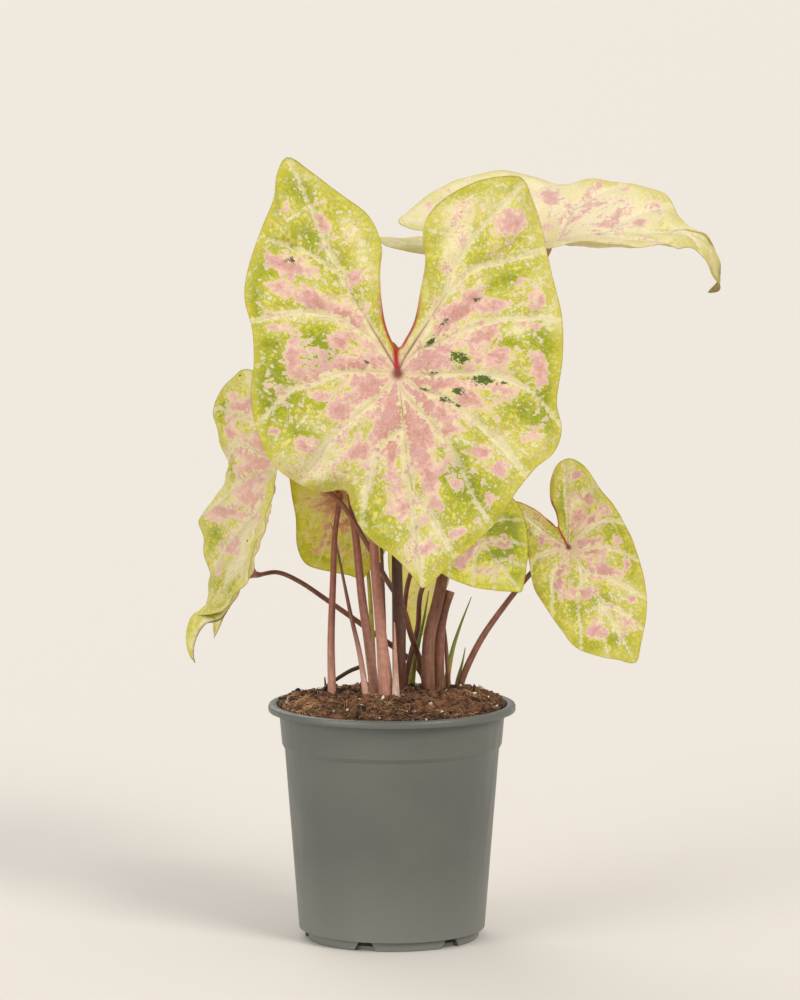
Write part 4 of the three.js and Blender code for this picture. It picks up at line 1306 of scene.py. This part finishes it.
@dataclass
class Plant:
    """The whole plant: ten leaves on their stalks, the young shoots and the old stems."""

    blade_gap: float = 0.45

    def blades(self) -> list[tuple[Blade, MarbledBlade]]:
        """Lists the leaves' blades with their finishes.

        Returns:
            Each blade and its finish.
        """
        return [
            (Blade("front", (2.9, -22, 277.4), (0.11, -0.22, -0.965), (0.02, -1, 0.2), 104, 12,
                   shape=FRONT_SHAPE, right_veins=FRONT_RIGHT_VEINS, left_veins=FRONT_LEFT_VEINS,
                   bumps=[(-16, 0.60, 0.035), (-12, 0.20, 0.04)], cup=(3, 9),
                   rays=300, rings=96, quilt=2.3, seed=4.0, pink_seat=0.2),
             MarbledBlade("front", 4.0, greenness=0.08)),
            (Blade("upper_right", (75, 43.7, 338.4), (1, -0.05, 0.03), (0, -0.45, 0.9), 130, 9,
                   Half(48, 78, 28), Half(40, 84, 24), shape=UPPER_RIGHT_SHAPE,
                   bends=[((0, 113), 90, -44, 10), ((0, 67), 110, -86, 16), ((0, -15), -90, -16, 50, 1),
                          ((0, -15), -90, 4, 50, -1), ((0, 0), 0, 6, 6), ((0, 0), 180, 17, 6)],
                   bumps=[(7, 0.70, 0.045), (-3, 0.27, 0.02)], cup=(5, 11), rays=260, rings=80, quilt=1.2,
                   flush=0.3, pink_seat=-0.02, seed=9.0),
             MarbledBlade("upper_right", 9.0, pale_lime="F3EBB4", lime="E1DA7E", green="CCC94F",
                          cream="FAF2D6", pink="E6BDAF", pale_pink="F6DDD0", greenness=-0.05,
                          creaminess=0.06, blush=0.05, seat_size=1.0, withered_from=98)),
            (Blade("left", (-58.7, 15, 231.5), (-0.14, -0.1, -0.98), (-0.78, -0.5, 0.33), 100, 12,
                   Half(38, 50, 26), Half(50, 42, 30),
                   bends=[((0, 73), 90, 46, 10), ((0, 88), 90, -72, 8), ((0, 12), 90, 22, 60),
                          ((0, 0), 0, 30, 6)],
                   bumps=[(9, 0.835, 0.035), (-9, 0.755, 0.03), (6, 0.69, 0.02), (-3, 0.58, 0.03)],
                   cup=(3, 9), rays=240, rings=80, quilt=1.8, pink_seat=0.15, seed=14.0),
             # Paler colours than on the other blades, partly painted light standing in for more light on this
             # blade.
             MarbledBlade("left", 14.0, pale_lime="F4EEA8", lime="E2DA62", green="C6CA3C", cream="FBF4D6",
                          pink="EFC5B6", pale_pink="FCE6DA", blush=-0.03, glow=0.45)),
            (Blade("right", (86.3, 24, 187.7), (0.5, -0.15, -0.85), (0.1, -1, 0.3), 65, 11,
                   Half(29, 38, 19), Half(25, 34, 16), shape=RIGHT_SHAPE, rays=200, rings=64, quilt=1.1,
                   pink_seat=0.05, red_width=0.9, seed=21.0),
             MarbledBlade("right", 21.0, greenness=0.04, creaminess=-0.05, seat_size=2.0, span=0.6)),
            (Blade("lower_right", (37.8, 10, 198.8), (0.62, -0.2, -0.75), (0.1, -0.85, 0.5), 40, 8,
                   Half(27, 30, 13), Half(27, 30, 13), quilt=0.7, pink_seat=0.05, seed=28.0,
                   red_width=0.7),
             MarbledBlade("lower_right", 28.0, pale_lime="F2EC96", lime="E2DE48", green="B8C424",
                          blush=-0.05, creaminess=-0.08, greenness=0.08, span=0.5)),
            (Blade("lower_left", (-26.2, 20.5, 213.2), (0.28, 0.02, -0.96), (-0.15, 0.98, 0.05), 42, 8,
                   Half(24, 34, 13), Half(22, 34, 13), shape=LOWER_LEFT_SHAPE, quilt=0.7, pink_seat=0.1,
                   seed=35.0),
             # Paler colours and a bright olive underside, partly painted light standing in for the light that
             # shines through this blade from behind.
             MarbledBlade("lower_left", 35.0, pale_lime="F2EE9A", lime="E6E26E", green="C4CA42",
                          olive="E2DE6A", blush=0.06, glow=0.78, span=0.5)),
            (Blade("inner_right", (12, 30, 255), (0.05, 0.1, -1), (0.1, 0.97, 0.2), 46, 8,
                   Half(25, 34, 12), Half(25, 34, 12), seed=42.0),
             MarbledBlade("inner_right", 42.0, span=0.5)),
            (Blade("inner_left", (-32, 34, 262), (-0.2, 0.35, -0.87), (-0.3, 0.75, 0.45), 40, 7,
                   Half(21, 30, 11), Half(21, 30, 11), seed=49.0),
             MarbledBlade("inner_left", 49.0, span=0.5)),
            (Blade("pale", (14.2, 47, 184), (-0.05, 0.06, -0.95), (0, 1, 0.1), 48, 7,
                   Half(16, 30, 9), Half(16, 30, 9), cup=(1.5, 6), seed=56.0),
             # Paler colours, partly painted light standing in for the light that shines through this blade
             # from behind.
             MarbledBlade("pale", 56.0, pale_lime="FBF6C4", lime="F4EE9E", green="E4E07A", olive="F0EA98",
                          web="E6BFA8", greenness=-0.08, glow=0.8, span=0.5)),
            (Blade("rear_left", (-76, 36, 175.5), (-0.32, -0.05, -0.95), (-0.9, -0.42, 0.2), 36, 8,
                   Half(20, 34, 12), Half(20, 30, 12), bends=[((0, 0), 0, 30, 6)], cup=(7, 12), seed=63.0),
             MarbledBlade("rear_left", 63.0, span=0.5)),
        ]

    def stalks(self) -> dict[str, Stem]:
        """Lists the leaves' stalks by their leaf's name, each up to the last bend before its blade.

        Returns:
            The stalks by leaf.
        """
        return {
            # Its darker skin is partly painted shade, standing for the shadow of the front blade.
            "front": Stem("stalk_front", [(3.4, 14, 122), (2.9, 9, 154), (2.4, 4, 185), (2.5, -1, 224),
                                          (2.8, -6, 258)], 3.1, 1.7, Skin.DARK, 0.4),
            "upper_right": Stem("stalk_upper_right", [
                (17.6, 16, 119), (18, 20, 142.5), (22.5, 26, 161.5), (26.5, 32, 180), (34.5, 40, 214),
                (47.5, 46, 257.5), (61.5, 48, 297), (69, 48, 317)], 3.2, 1.7, Skin.BROWN, 1.8, 7),
            "left": Stem("stalk_left", [(15.7, 36, 123), (9.3, 26, 144), (4.9, 20, 159.5), (-3.4, 12, 174.5),
                                        (-12.6, 6.5, 192.3), (-25.7, 5.5, 212.6), (-42, 7.5, 224.5)],
                         1.5, 1.1, Skin.BROWN, 1.6),
            "right": Stem("stalk_right", [
                (33.6, 35, 118), (40.3, 36, 134.2), (49.2, 36, 149), (65.8, 34, 171), (76.5, 32, 181.5)],
                1.7, 1.1, Skin.BROWN, 1.2, 5),
            "lower_right": Stem("stalk_lower_right", [(6.4, 34, 119), (9.8, 33, 135.6), (12.7, 32, 147.7),
                                                      (14.2, 28, 165), (22, 22, 181)],
                                1.4, 1.0, Skin.BROWN, 1.0, 4),
            "lower_left": Stem("stalk_lower_left", [(-29.2, 8, 118), (-29.6, 9, 144), (-28.6, 11, 173),
                                                    (-27.7, 12, 195)], 2.0, 1.2, Skin.ROSY, 1.2, 4),
            "inner_right": Stem("stalk_inner_right", [
                (-2.9, -3, 121), (-4.3, -5, 138.4), (-5.8, -5, 155.3), (-8.7, -2, 190.7), (-8, 6, 218),
                (2, 18, 244)], 2.9, 1.5, Skin.ROSY, 1.0, 4, sheath=0.5),
            "inner_left": Stem("stalk_inner_left", [
                (-8.7, 5, 120), (-11.6, 7, 144), (-14.6, 9, 165), (-17.3, 11, 192), (-20, 10, 215),
                (-23, 10, 240), (-28, 20, 256)], 2.4, 1.3, Skin.ROSY, 1.0, 4),
            "pale": Stem("stalk_pale", [(5.4, 28, 120), (5.4, 33, 140.6), (6.4, 37, 159), (9, 41, 172)],
                         1.5, 1.0, Skin.BROWN, 0.9, 4),
            "rear_left": Stem("stalk_rear_left", [
                (15.2, 46.5, 121), (6, 43.5, 131.6), (-12.7, 35, 146.4), (-31.2, 32, 160), (-45, 32, 169.4),
                (-56, 33, 174)], 1.5, 1.1, Skin.BROWN, 2.4, 9),
        }

    def shoots(self) -> list[tuple[Stem, str]]:
        """Lists the young shoots and the old stems with their material slots.

        Returns:
            Each stem and its slot.
        """
        few = {"sides": 14, "steps": 36}
        return [
            (Stem("spear_brown", [(-12.8, -2, 119), (-15.5, 0, 138), (-20.3, 2, 159), (-27.1, 4, 192.4),
                                  (-29.5, 4, 201.6)], 1.6, 0.35, Skin.SPEAR, roll=0.2, **few), "brown_shoot"),
            (Stem("spear_green", [(27, 40, 119), (29.5, 41, 133.5), (33.4, 42, 146), (39, 43, 160.5)],
                  1.6, 0.2, Skin.GREEN, roll=0.3, **few), "green_shoot"),
            (Stem("spear_small", [(32, 38.5, 118), (34.6, 40, 128.5), (36, 41, 135.7)],
                  1.1, 0.2, Skin.GREEN, roll=0.3, **few), "green_shoot"),
            (Stem("spear_rolled", [(9.8, 39, 121), (12.7, 38, 137), (15.7, 38, 150.6), (18.1, 38, 164.4)],
                  1.7, 0.2, Skin.GREEN, roll=0.3, **few), "green_shoot"),
            (Stem("shoot_yellow", [(-8.8, 27, 122), (-10.3, 28, 156), (-12.2, 28, 180.8), (-13.7, 28, 195.5)],
                  1.4, 0.8, Skin.OLIVE, roll=0.2, **few), "green_shoot"),
            (Stem("shoot_olive", [(22.5, 37, 119), (23.5, 37, 140), (24, 38, 151)],
                  1.7, 1.0, Skin.OLIVE, roll=0.3, **few), "green_shoot"),
            (Stem("shoot_thin", [(27.6, 32, 119), (26.4, 33, 138), (25, 34, 151)],
                  1.2, 0.8, Skin.BROWN, **few), "brown_shoot"),
            (Stem("shoot_rear", [(-3.4, 20, 122), (-3.9, 18.5, 153), (-4.9, 16.5, 183), (-5.6, 16, 197)],
                  1.1, 0.8, Skin.BROWN, **few), "brown_shoot"),
            (Stem("sheath", [(1.9, -6.5, 121), (1.6, -7, 138.5), (1.2, -7, 155)],
                  1.8, 0.3, Skin.SHEATH, roll=0.3, **few), "pale_sheath"),
            (Stem("cut_stub", [(22.6, 25, 120), (23, 27, 141.4), (25, 29, 155), (28.4, 31, 165)],
                  3.0, 2.4, Skin.BROWN, **few), "brown_shoot"),
            (Stem("sprout", [(-32.2, 15, 117), (-32.8, 15, 125)], 0.8, 0.3, Skin.WITHERED, **few),
             "withered_stem"),
            (Stem("withered_stem", [
                (-13.2, 16.5, 118), (-14.5, 16, 128.6), (-18, 15, 129), (-24.3, 14, 125.8),
                (-33, 12.2, 119.6), (-37, 11, 112.5)], 1.2, 0.9, Skin.WITHERED, **few), "withered_stem"),
        ]

    def build(self) -> None:
        """Makes every leaf, stalk and shoot."""
        skins = {kind: StalkSkin(kind).material() for kind in Skin}
        stalks = self.stalks()
        for blade, finish in self.blades():
            slot = "young_leaf" if blade.name == "pale" else "leaf_blade"
            hand_over(blade.build(), finish.material(), slot, f"blade_{blade.name}")
            stalk = stalks[blade.name]
            seat, up = blade.seat()
            stalk.path += [tuple(seat - up * 5), tuple(seat - up * self.blade_gap)]
            slot = "dark_leaf_stalk" if stalk.skin is Skin.DARK else "leaf_stalk"
            hand_over(stalk.build(), skins[stalk.skin], slot, stalk.name)
        for shoot, slot in self.shoots():
            hand_over(shoot.build(), skins[shoot.skin], slot, shoot.name)


# ---------------------------------------------------------------- nursery pot

@dataclass
class NurseryPot:
    """The nursery pot: a spun wall with a rolled lip, a collar, a recessed foot and drainage notches."""

    height: float = 114.6
    lip_radius: float = 60.0
    lip_height: float = 3.6
    lip_inside: float = 55.9
    collar_top: float = 54.7
    collar_foot: float = 53.4
    collar_level: float = 95.6
    body_top: float = 52.0
    body_foot: float = 45.2
    foot_radius: float = 42.2
    foot_height: float = 4.7
    wall: float = 1.3
    floor: float = 2.0
    turns: int = 192
    notches: int = 6
    first_notch: float = -167.8
    notch_foot: float = 13.0
    notch_top: float = 6.0
    notch_height: float = 4.6
    notch_depth: float = 6.5

    def profile(self) -> list[tuple[float, float]]:
        """Gives the wall's section from the middle of the underside, round the lip, to the inner floor.

        Returns:
            The section's points, each a radius and a height.
        """
        lip = self.height - self.lip_height
        return [
            (0, 0.35), (self.foot_radius - 4, 0.35), (self.foot_radius - 3.4, 0), (self.foot_radius - 0.5, 0),
            (self.foot_radius, 0.5), (self.foot_radius + 0.2, self.foot_height - 0.25),
            (self.foot_radius + 0.5, self.foot_height), (self.body_foot - 0.6, self.foot_height),
            (self.body_foot - 0.1, self.foot_height + 0.2), (self.body_foot, self.foot_height + 0.7),
            (self.body_top, self.collar_level - 3.1), (self.body_top + 0.15, self.collar_level - 2.4),
            (self.body_top + 0.6, self.collar_level - 1.9), (self.collar_foot - 0.5, self.collar_level - 1),
            (self.collar_foot - 0.1, self.collar_level - 0.5), (self.collar_foot, self.collar_level + 0.2),
            (self.collar_top, lip - 0.7), (self.collar_top + 0.15, lip - 0.15), (self.collar_top + 0.6, lip),
            (self.lip_radius - 0.8, lip), (self.lip_radius - 0.2, lip + 0.25), (self.lip_radius, lip + 0.9),
            (self.lip_radius, self.height - 1.3), (self.lip_radius - 0.35, self.height - 0.5),
            (self.lip_radius - 1.1, self.height - 0.1), (self.lip_radius - 2, self.height),
            (self.lip_inside + 0.8, self.height), (self.lip_inside + 0.2, self.height - 0.2),
            (self.lip_inside - 0.1, self.height - 0.8), (self.collar_top - self.wall, self.height - 3.2),
            (self.collar_foot - self.wall, self.collar_level),
            (self.body_top - self.wall, self.collar_level - 2.4),
            (self.body_foot - self.wall, self.foot_height + self.wall + 1),
            (self.foot_radius - self.wall, self.foot_height - 0.5),
            (self.foot_radius - self.wall, self.floor), (0, self.floor),
        ]

    def build(self) -> None:
        """Spins the section into the pot, cuts the notches and shades it smooth by angle."""
        deselect()
        mesh = bpy.data.meshes.new("nursery_pot_shell")
        points = [(0, -r * MM, z * MM) for r, z in self.profile()]
        mesh.from_pydata(points, [(i, i + 1) for i in range(len(points) - 1)], [])
        pot = bpy.data.objects.new("nursery_pot_shell", mesh)
        bpy.context.scene.collection.objects.link(pot)
        select_only(pot)
        bpy.ops.object.mode_set(mode="EDIT")
        bpy.ops.mesh.select_all(action="SELECT")
        bpy.ops.mesh.spin(steps=self.turns, angle=2 * math.pi, center=(0, 0, 0), axis=(0, 0, 1))
        bpy.ops.mesh.select_all(action="SELECT")
        bpy.ops.mesh.remove_doubles(threshold=0.01 * MM)
        bpy.ops.mesh.normals_make_consistent(inside=False)
        bpy.ops.object.mode_set(mode="OBJECT")
        self.cut_notches(pot)
        select_only(pot)
        bpy.ops.object.shade_smooth_by_angle(angle=math.radians(28))
        hand_over(pot, MouldedPolypropylene().material(), "pot_plastic", "nursery_pot")

    def cut_notches(self, pot: bpy.types.Object) -> None:
        """Cuts the drainage notches where the wall meets the underside.

        Args:
            pot: the spun shell.
        """
        middle = self.body_foot + 0.5 - self.notch_depth / 2
        for i in range(self.notches):
            turn = math.radians(self.first_notch + i * 360 / self.notches)
            bpy.ops.mesh.primitive_cube_add(size=1)
            cutter = bpy.context.active_object
            for corner in cutter.data.vertices:
                x, y, z = corner.co
                out = middle + y * self.notch_depth
                side = x * (self.notch_foot if z < 0 else self.notch_top)
                corner.co = (
                    (out * math.cos(turn) - side * math.sin(turn)) * MM,
                    (out * math.sin(turn) + side * math.cos(turn)) * MM,
                    (self.notch_height if z > 0 else -1.0) * MM)
            select_only(cutter)
            bpy.ops.object.mode_set(mode="EDIT")
            bpy.ops.mesh.select_all(action="SELECT")
            bpy.ops.mesh.normals_make_consistent(inside=False)
            bpy.ops.object.mode_set(mode="OBJECT")
            apply_modifier(pot, "BOOLEAN", object=cutter, operation="DIFFERENCE", solver="EXACT")
            bpy.data.objects.remove(cutter)


# ---------------------------------------------------------------- potting mix

@dataclass
class PottingMix:
    """The potting mix: a lumpy filling strewn with crumbs, coir fibres and perlite.

    Attributes:
        clearance: from the filling to the pot.
        mounds: heaps on it, each (across, back, height, radius).
        strewn_out, fibres_out: how far from the middle crumbs and grains lie, and fibres start.
        fibres_end: how far from the middle a fibre may run.
    """

    pot: NurseryPot
    dome: float = 4.2
    clearance: float = 0.35
    mounds: tuple = ((40, 8, 4.5, 11), (-42, 10, 2.2, 9))
    crumbs: int = 1100
    fibres: int = 2200
    grains: int = 190
    strewn_out: float = 54.5
    fibres_out: float = 53.5
    fibres_end: float = 54.8
    seed: int = 7

    def level(self, x: np.ndarray, y: np.ndarray) -> np.ndarray:
        """Gives the height of the mix's lumpy surface.

        Args:
            x, y: places across and back.

        Returns:
            The height at each place.
        """
        r = np.hypot(x, y) / self.pot.lip_inside
        lumps = (0.9 * np.sin(0.31 * x + 1.2) * np.cos(0.27 * y - 0.4)
                 + 0.7 * np.sin(0.53 * x - 0.47 * y + 2) + 0.5 * np.cos(0.71 * x + 0.66 * y))
        heaps = sum(height * np.exp(-((x - mx) ** 2 + (y - my) ** 2) / radius ** 2)
                    for mx, my, height, radius in self.mounds)
        return self.pot.height - 1 + self.dome * (1 - r * r) + lumps * (1 - r ** 4) + heaps

    def surface(self) -> bpy.types.Object:
        """Makes the filling: fine lumps on top, and sides and bottom that follow the pot.

        Returns:
            The filling, at its place.
        """
        pot, gap, turns, rings = self.pot, self.clearance, 192, 64
        rim = pot.lip_inside - 1
        angles = 2 * np.pi * np.arange(turns) / turns
        rows = []
        for i in range(1, rings + 1):
            r = rim * i / rings
            x, y = r * np.cos(angles), r * np.sin(angles)
            fine = (0.55 * np.sin(1.7 * x + 0.6 * y) * np.cos(1.3 * y - 0.9 * x)
                    + 0.4 * np.sin(2.9 * x - 2.3 * y) + 0.3 * np.cos(4.1 * y + 3.3 * x))
            z = self.level(x, y) + fine * (1 - (i / rings) ** 12)
            rows.append(np.column_stack([x, y, z]))
        sides = [
            (pot.collar_top - pot.wall - gap - 0.3, pot.height - 3.6),
            (pot.collar_foot - pot.wall - gap, pot.collar_level + 0.3),
            (pot.body_top - pot.wall - gap, pot.collar_level - 2.1),
            (pot.body_foot - pot.wall - gap - 0.2, pot.foot_height + pot.wall + 1.4),
            (pot.foot_radius - pot.wall - gap, pot.foot_height - 0.2),
            (pot.foot_radius - pot.wall - gap, pot.floor + gap),
        ]
        rows += [np.column_stack([r * np.cos(angles), r * np.sin(angles), np.full(turns, z)])
                 for r, z in sides]
        points = np.vstack([[[0, 0, float(self.level(0.0, 0.0))]], *rows, [[0, 0, pot.floor + gap]]])
        base = 1 + (len(rows) - 1) * turns
        return mesh_piece("mix_filling", points, ring_faces(len(rows), turns, 1)[:, [0, 3, 2, 1]],
                          fan_faces(0, 1, turns), fan_faces(len(points) - 1, base, turns, turned=True))

    def strewn(self, name: str, count: int, sizes: tuple[float, float], flat: float, lift: float,
               rng: np.random.Generator) -> bpy.types.Object:
        """Strews one rough grain over the mix, each copy turned, squashed and dented its own way.

        Args:
            name: the piece's name.
            count: how many grains.
            sizes: smallest and largest radius.
            flat: how flat the grains are.
            lift: how far up a grain's middle sits, in its radii.
            rng: the random draws.

        Returns:
            All the grains in one piece.
        """
        deselect()
        bpy.ops.mesh.primitive_ico_sphere_add(subdivisions=2, radius=1)
        grain = bpy.context.active_object
        ball = np.array([v.co for v in grain.data.vertices])
        faces = np.array([list(p.vertices) for p in grain.data.polygons])
        bpy.data.objects.remove(grain)
        points, all_faces = [], []
        for k in range(count):
            r = self.strewn_out * math.sqrt(rng.random())
            turn = rng.random() * 2 * math.pi
            x, y = r * math.cos(turn), r * math.sin(turn)
            size = sizes[0] + (sizes[1] - sizes[0]) * rng.random() ** 2.2
            size = min(size, max(0.5, (self.strewn_out + 2 - r) * 0.8))
            waves = rng.normal(size=(3, 3)) * 2.2
            dents = 1 + 0.22 * np.sin(ball @ waves.T + rng.random(3) * 6).sum(1)
            shape = ball * dents[:, None] * [1, rng.uniform(0.55, 1), rng.uniform(flat, 1) * 0.8]
            shape = rotate(shape, rng.normal(size=4)) * size
            points.append(shape + [x, y, float(self.level(x, y)) + lift * size])
            all_faces.append(faces + k * len(ball))
        return mesh_piece(name, np.vstack(points), np.vstack(all_faces))

    def fibre_mat(self, rng: np.random.Generator) -> bpy.types.Object:
        """Lays thin curled coir fibres over the mix.

        Args:
            rng: the random draws.

        Returns:
            All the fibres in one piece.
        """
        steps, sides = 7, 3
        points, faces = [], []
        for k in range(self.fibres):
            r = self.fibres_out * math.sqrt(rng.random())
            turn = rng.random() * 2 * math.pi
            heading = rng.random() * 2 * math.pi
            length = rng.uniform(3, 13)
            curl = rng.normal() * 0.22
            arch = rng.uniform(0, 0.16) * length
            thick = rng.uniform(0.08, 0.22)
            x, y = r * math.cos(turn), r * math.sin(turn)
            line = []
            for i in range(steps + 1):
                s = i / steps
                reach = math.hypot(x, y)
                if reach > self.fibres_end:
                    x, y = x * self.fibres_end / reach, y * self.fibres_end / reach
                z = float(self.level(x, y)) + 0.5 + arch * 4 * s * (1 - s) + 0.3 * math.sin(9 * s + k)
                line.append((x, y, z))
                heading += curl
                x += length / steps * math.cos(heading)
                y += length / steps * math.sin(heading)
            line = np.array(line)
            tangent = np.gradient(line, axis=0)
            tangent /= np.linalg.norm(tangent, axis=1, keepdims=True)
            side = np.cross(tangent, [0, 0, 1.0])
            side /= np.maximum(np.linalg.norm(side, axis=1, keepdims=True), 1e-6)
            up = np.cross(side, tangent)
            width = thick * np.sqrt(np.clip(1.15 - np.linspace(-1, 1, steps + 1) ** 2, 0.12, 1))
            base = len(points) * (steps + 1) * sides
            rings = [line + width[:, None] * (math.cos(2.1 * m) * side + math.sin(2.1 * m) * up)
                     for m in range(sides)]
            points.append(np.stack(rings, 1).reshape(-1, 3))
            end = base + steps * sides
            ends = np.array([[base + 2, base + 1, base], [end, end + 1, end + 2]])
            faces += [ring_faces(steps + 1, sides, base), ends]
        return mesh_piece("coir_fibres", np.vstack(points), *faces)

    def build(self) -> None:
        """Makes the filling and everything that lies on it."""
        rng = np.random.default_rng(self.seed)
        filling = Earthy("coir_and_peat_mix", "1A1009", "5C3C25", 1.6)
        crumb = Earthy("peat_crumbs", "20140C", "7C5436", 2.6)
        fibre = Earthy("coir_fibre", "6A4227", "CFA273", 3.6, 0.8)
        perlite = Earthy("perlite", "C9BFB0", "F3EEE4", 0.7)
        hand_over(self.surface(), filling.material(), "potting_mix", "potting_mix")
        crumbs = self.strewn("peat_crumbs", self.crumbs, (0.7, 3.0), 0.5, 0.15, rng)
        hand_over(crumbs, crumb.material(), "potting_mix")
        hand_over(self.fibre_mat(rng), fibre.material(), "potting_mix")
        grains = self.strewn("perlite_grains", self.grains, (0.4, 1.3), 0.6, 0.75, rng)
        hand_over(grains, perlite.material(), "potting_mix")


def rotate(points: np.ndarray, quaternion: np.ndarray) -> np.ndarray:
    """Turns points by a quaternion of any length.

    Args:
        points: the points, as rows.
        quaternion: its four numbers, the real one first.

    Returns:
        The turned points.
    """
    w, x, y, z = quaternion / np.linalg.norm(quaternion)
    matrix = np.array([
        [1 - 2 * (y * y + z * z), 2 * (x * y - z * w), 2 * (x * z + y * w)],
        [2 * (x * y + z * w), 1 - 2 * (x * x + z * z), 2 * (y * z - x * w)],
        [2 * (x * z - y * w), 2 * (y * z + x * w), 1 - 2 * (x * x + y * y)]])
    return points @ matrix.T


# ---------------------------------------------------------------- studio

@dataclass
class Studio:
    """A pale floor, wide soft lights in front on both sides and behind, and the camera.

    Attributes:
        camera_at: the camera's place, in millimetres as the plant's sizes are.
        pitch: how far the camera looks down, in degrees.
        lens, sensor: its focal length and sensor width in millimetres.
        aim: where the lights point.
        lights: each a name, a place, a power, a width in degrees and a colour.
    """

    camera_at: tuple = (3.9, -2800, 549)
    pitch: float = 6.83
    lens: float = 210.2
    sensor: float = 36.0
    floor_size: float = 60.0
    floor_middle: tuple = (0, 20, 0)
    floor_colour: str = "DEDAD4"
    room_colour: str = "F4F1ED"
    room_light: float = 0.68
    aim: tuple = (0.02, 0, 0.2)
    lights: tuple = (
        ("key_light", (1.5, -1.6, 1.7), 1.65, 24, "FFF9F2"),
        ("fill_light", (-1.5, -1.4, 0.9), 1.35, 40, "FCF9F5"),
        ("back_light", (-0.7, 1.6, 1.4), 0.7, 40, "FFFAF3"),
    )

    def build(self) -> None:
        """Sets the stage."""
        deselect()
        bpy.ops.mesh.primitive_plane_add(size=self.floor_size, location=self.floor_middle)
        floor = bpy.context.active_object
        floor.name = "studio_floor"
        bpy.ops.object.transform_apply(location=True, rotation=True, scale=True)
        material, tree = new_material("matt_painted_floor")
        shader = put(tree, "BsdfPrincipled", {"Base Color": linear(self.floor_colour), "Roughness": 0.8})
        put(tree, "OutputMaterial", {"Surface": shader})
        floor.data.materials.append(material)
        for light in self.lights:
            self.sun(*light)
        world = bpy.data.worlds.new("pale_room")
        bpy.context.scene.world = world
        world.use_nodes = True
        sky = world.node_tree.nodes["Background"].inputs
        sky["Color"].default_value = linear(self.room_colour)
        sky["Strength"].default_value = self.room_light
        bpy.ops.object.camera_add(location=[c * MM for c in self.camera_at],
                                  rotation=(math.radians(90 - self.pitch), 0, 0))
        camera = bpy.context.active_object
        camera.data.lens = self.lens
        camera.data.sensor_width = self.sensor
        camera.data.clip_end = 100
        bpy.context.scene.camera = camera
        bpy.context.scene.view_settings.view_transform = "Standard"

    def sun(self, name: str, at: tuple, power: float, width: float, colour: str) -> None:
        """Adds a wide, soft and even light that shines on the whole floor.

        Args:
            name: the light's name.
            at: the place that it shines from, towards the middle of the plant.
            power: its power in watts for each square metre.
            width: its width in the sky in degrees.
            colour: its sRGB hex colour.
        """
        bpy.ops.object.light_add(type="SUN", location=at)
        lamp = bpy.context.active_object
        lamp.name = name
        lamp.data.energy = power
        lamp.data.angle = math.radians(width)
        lamp.data.color = linear(colour)[:3]
        lamp.rotation_euler = (Vector(self.aim) - Vector(at)).to_track_quat("-Z", "Y").to_euler()


def main() -> None:
    """Builds the plant, its pot and the studio."""
    logging.basicConfig(level=logging.INFO, format="%(message)s")
    Studio().build()
    pot = NurseryPot()
    pot.build()
    PottingMix(pot).build()
    Plant().build()


if __name__ == "__main__":
    main()
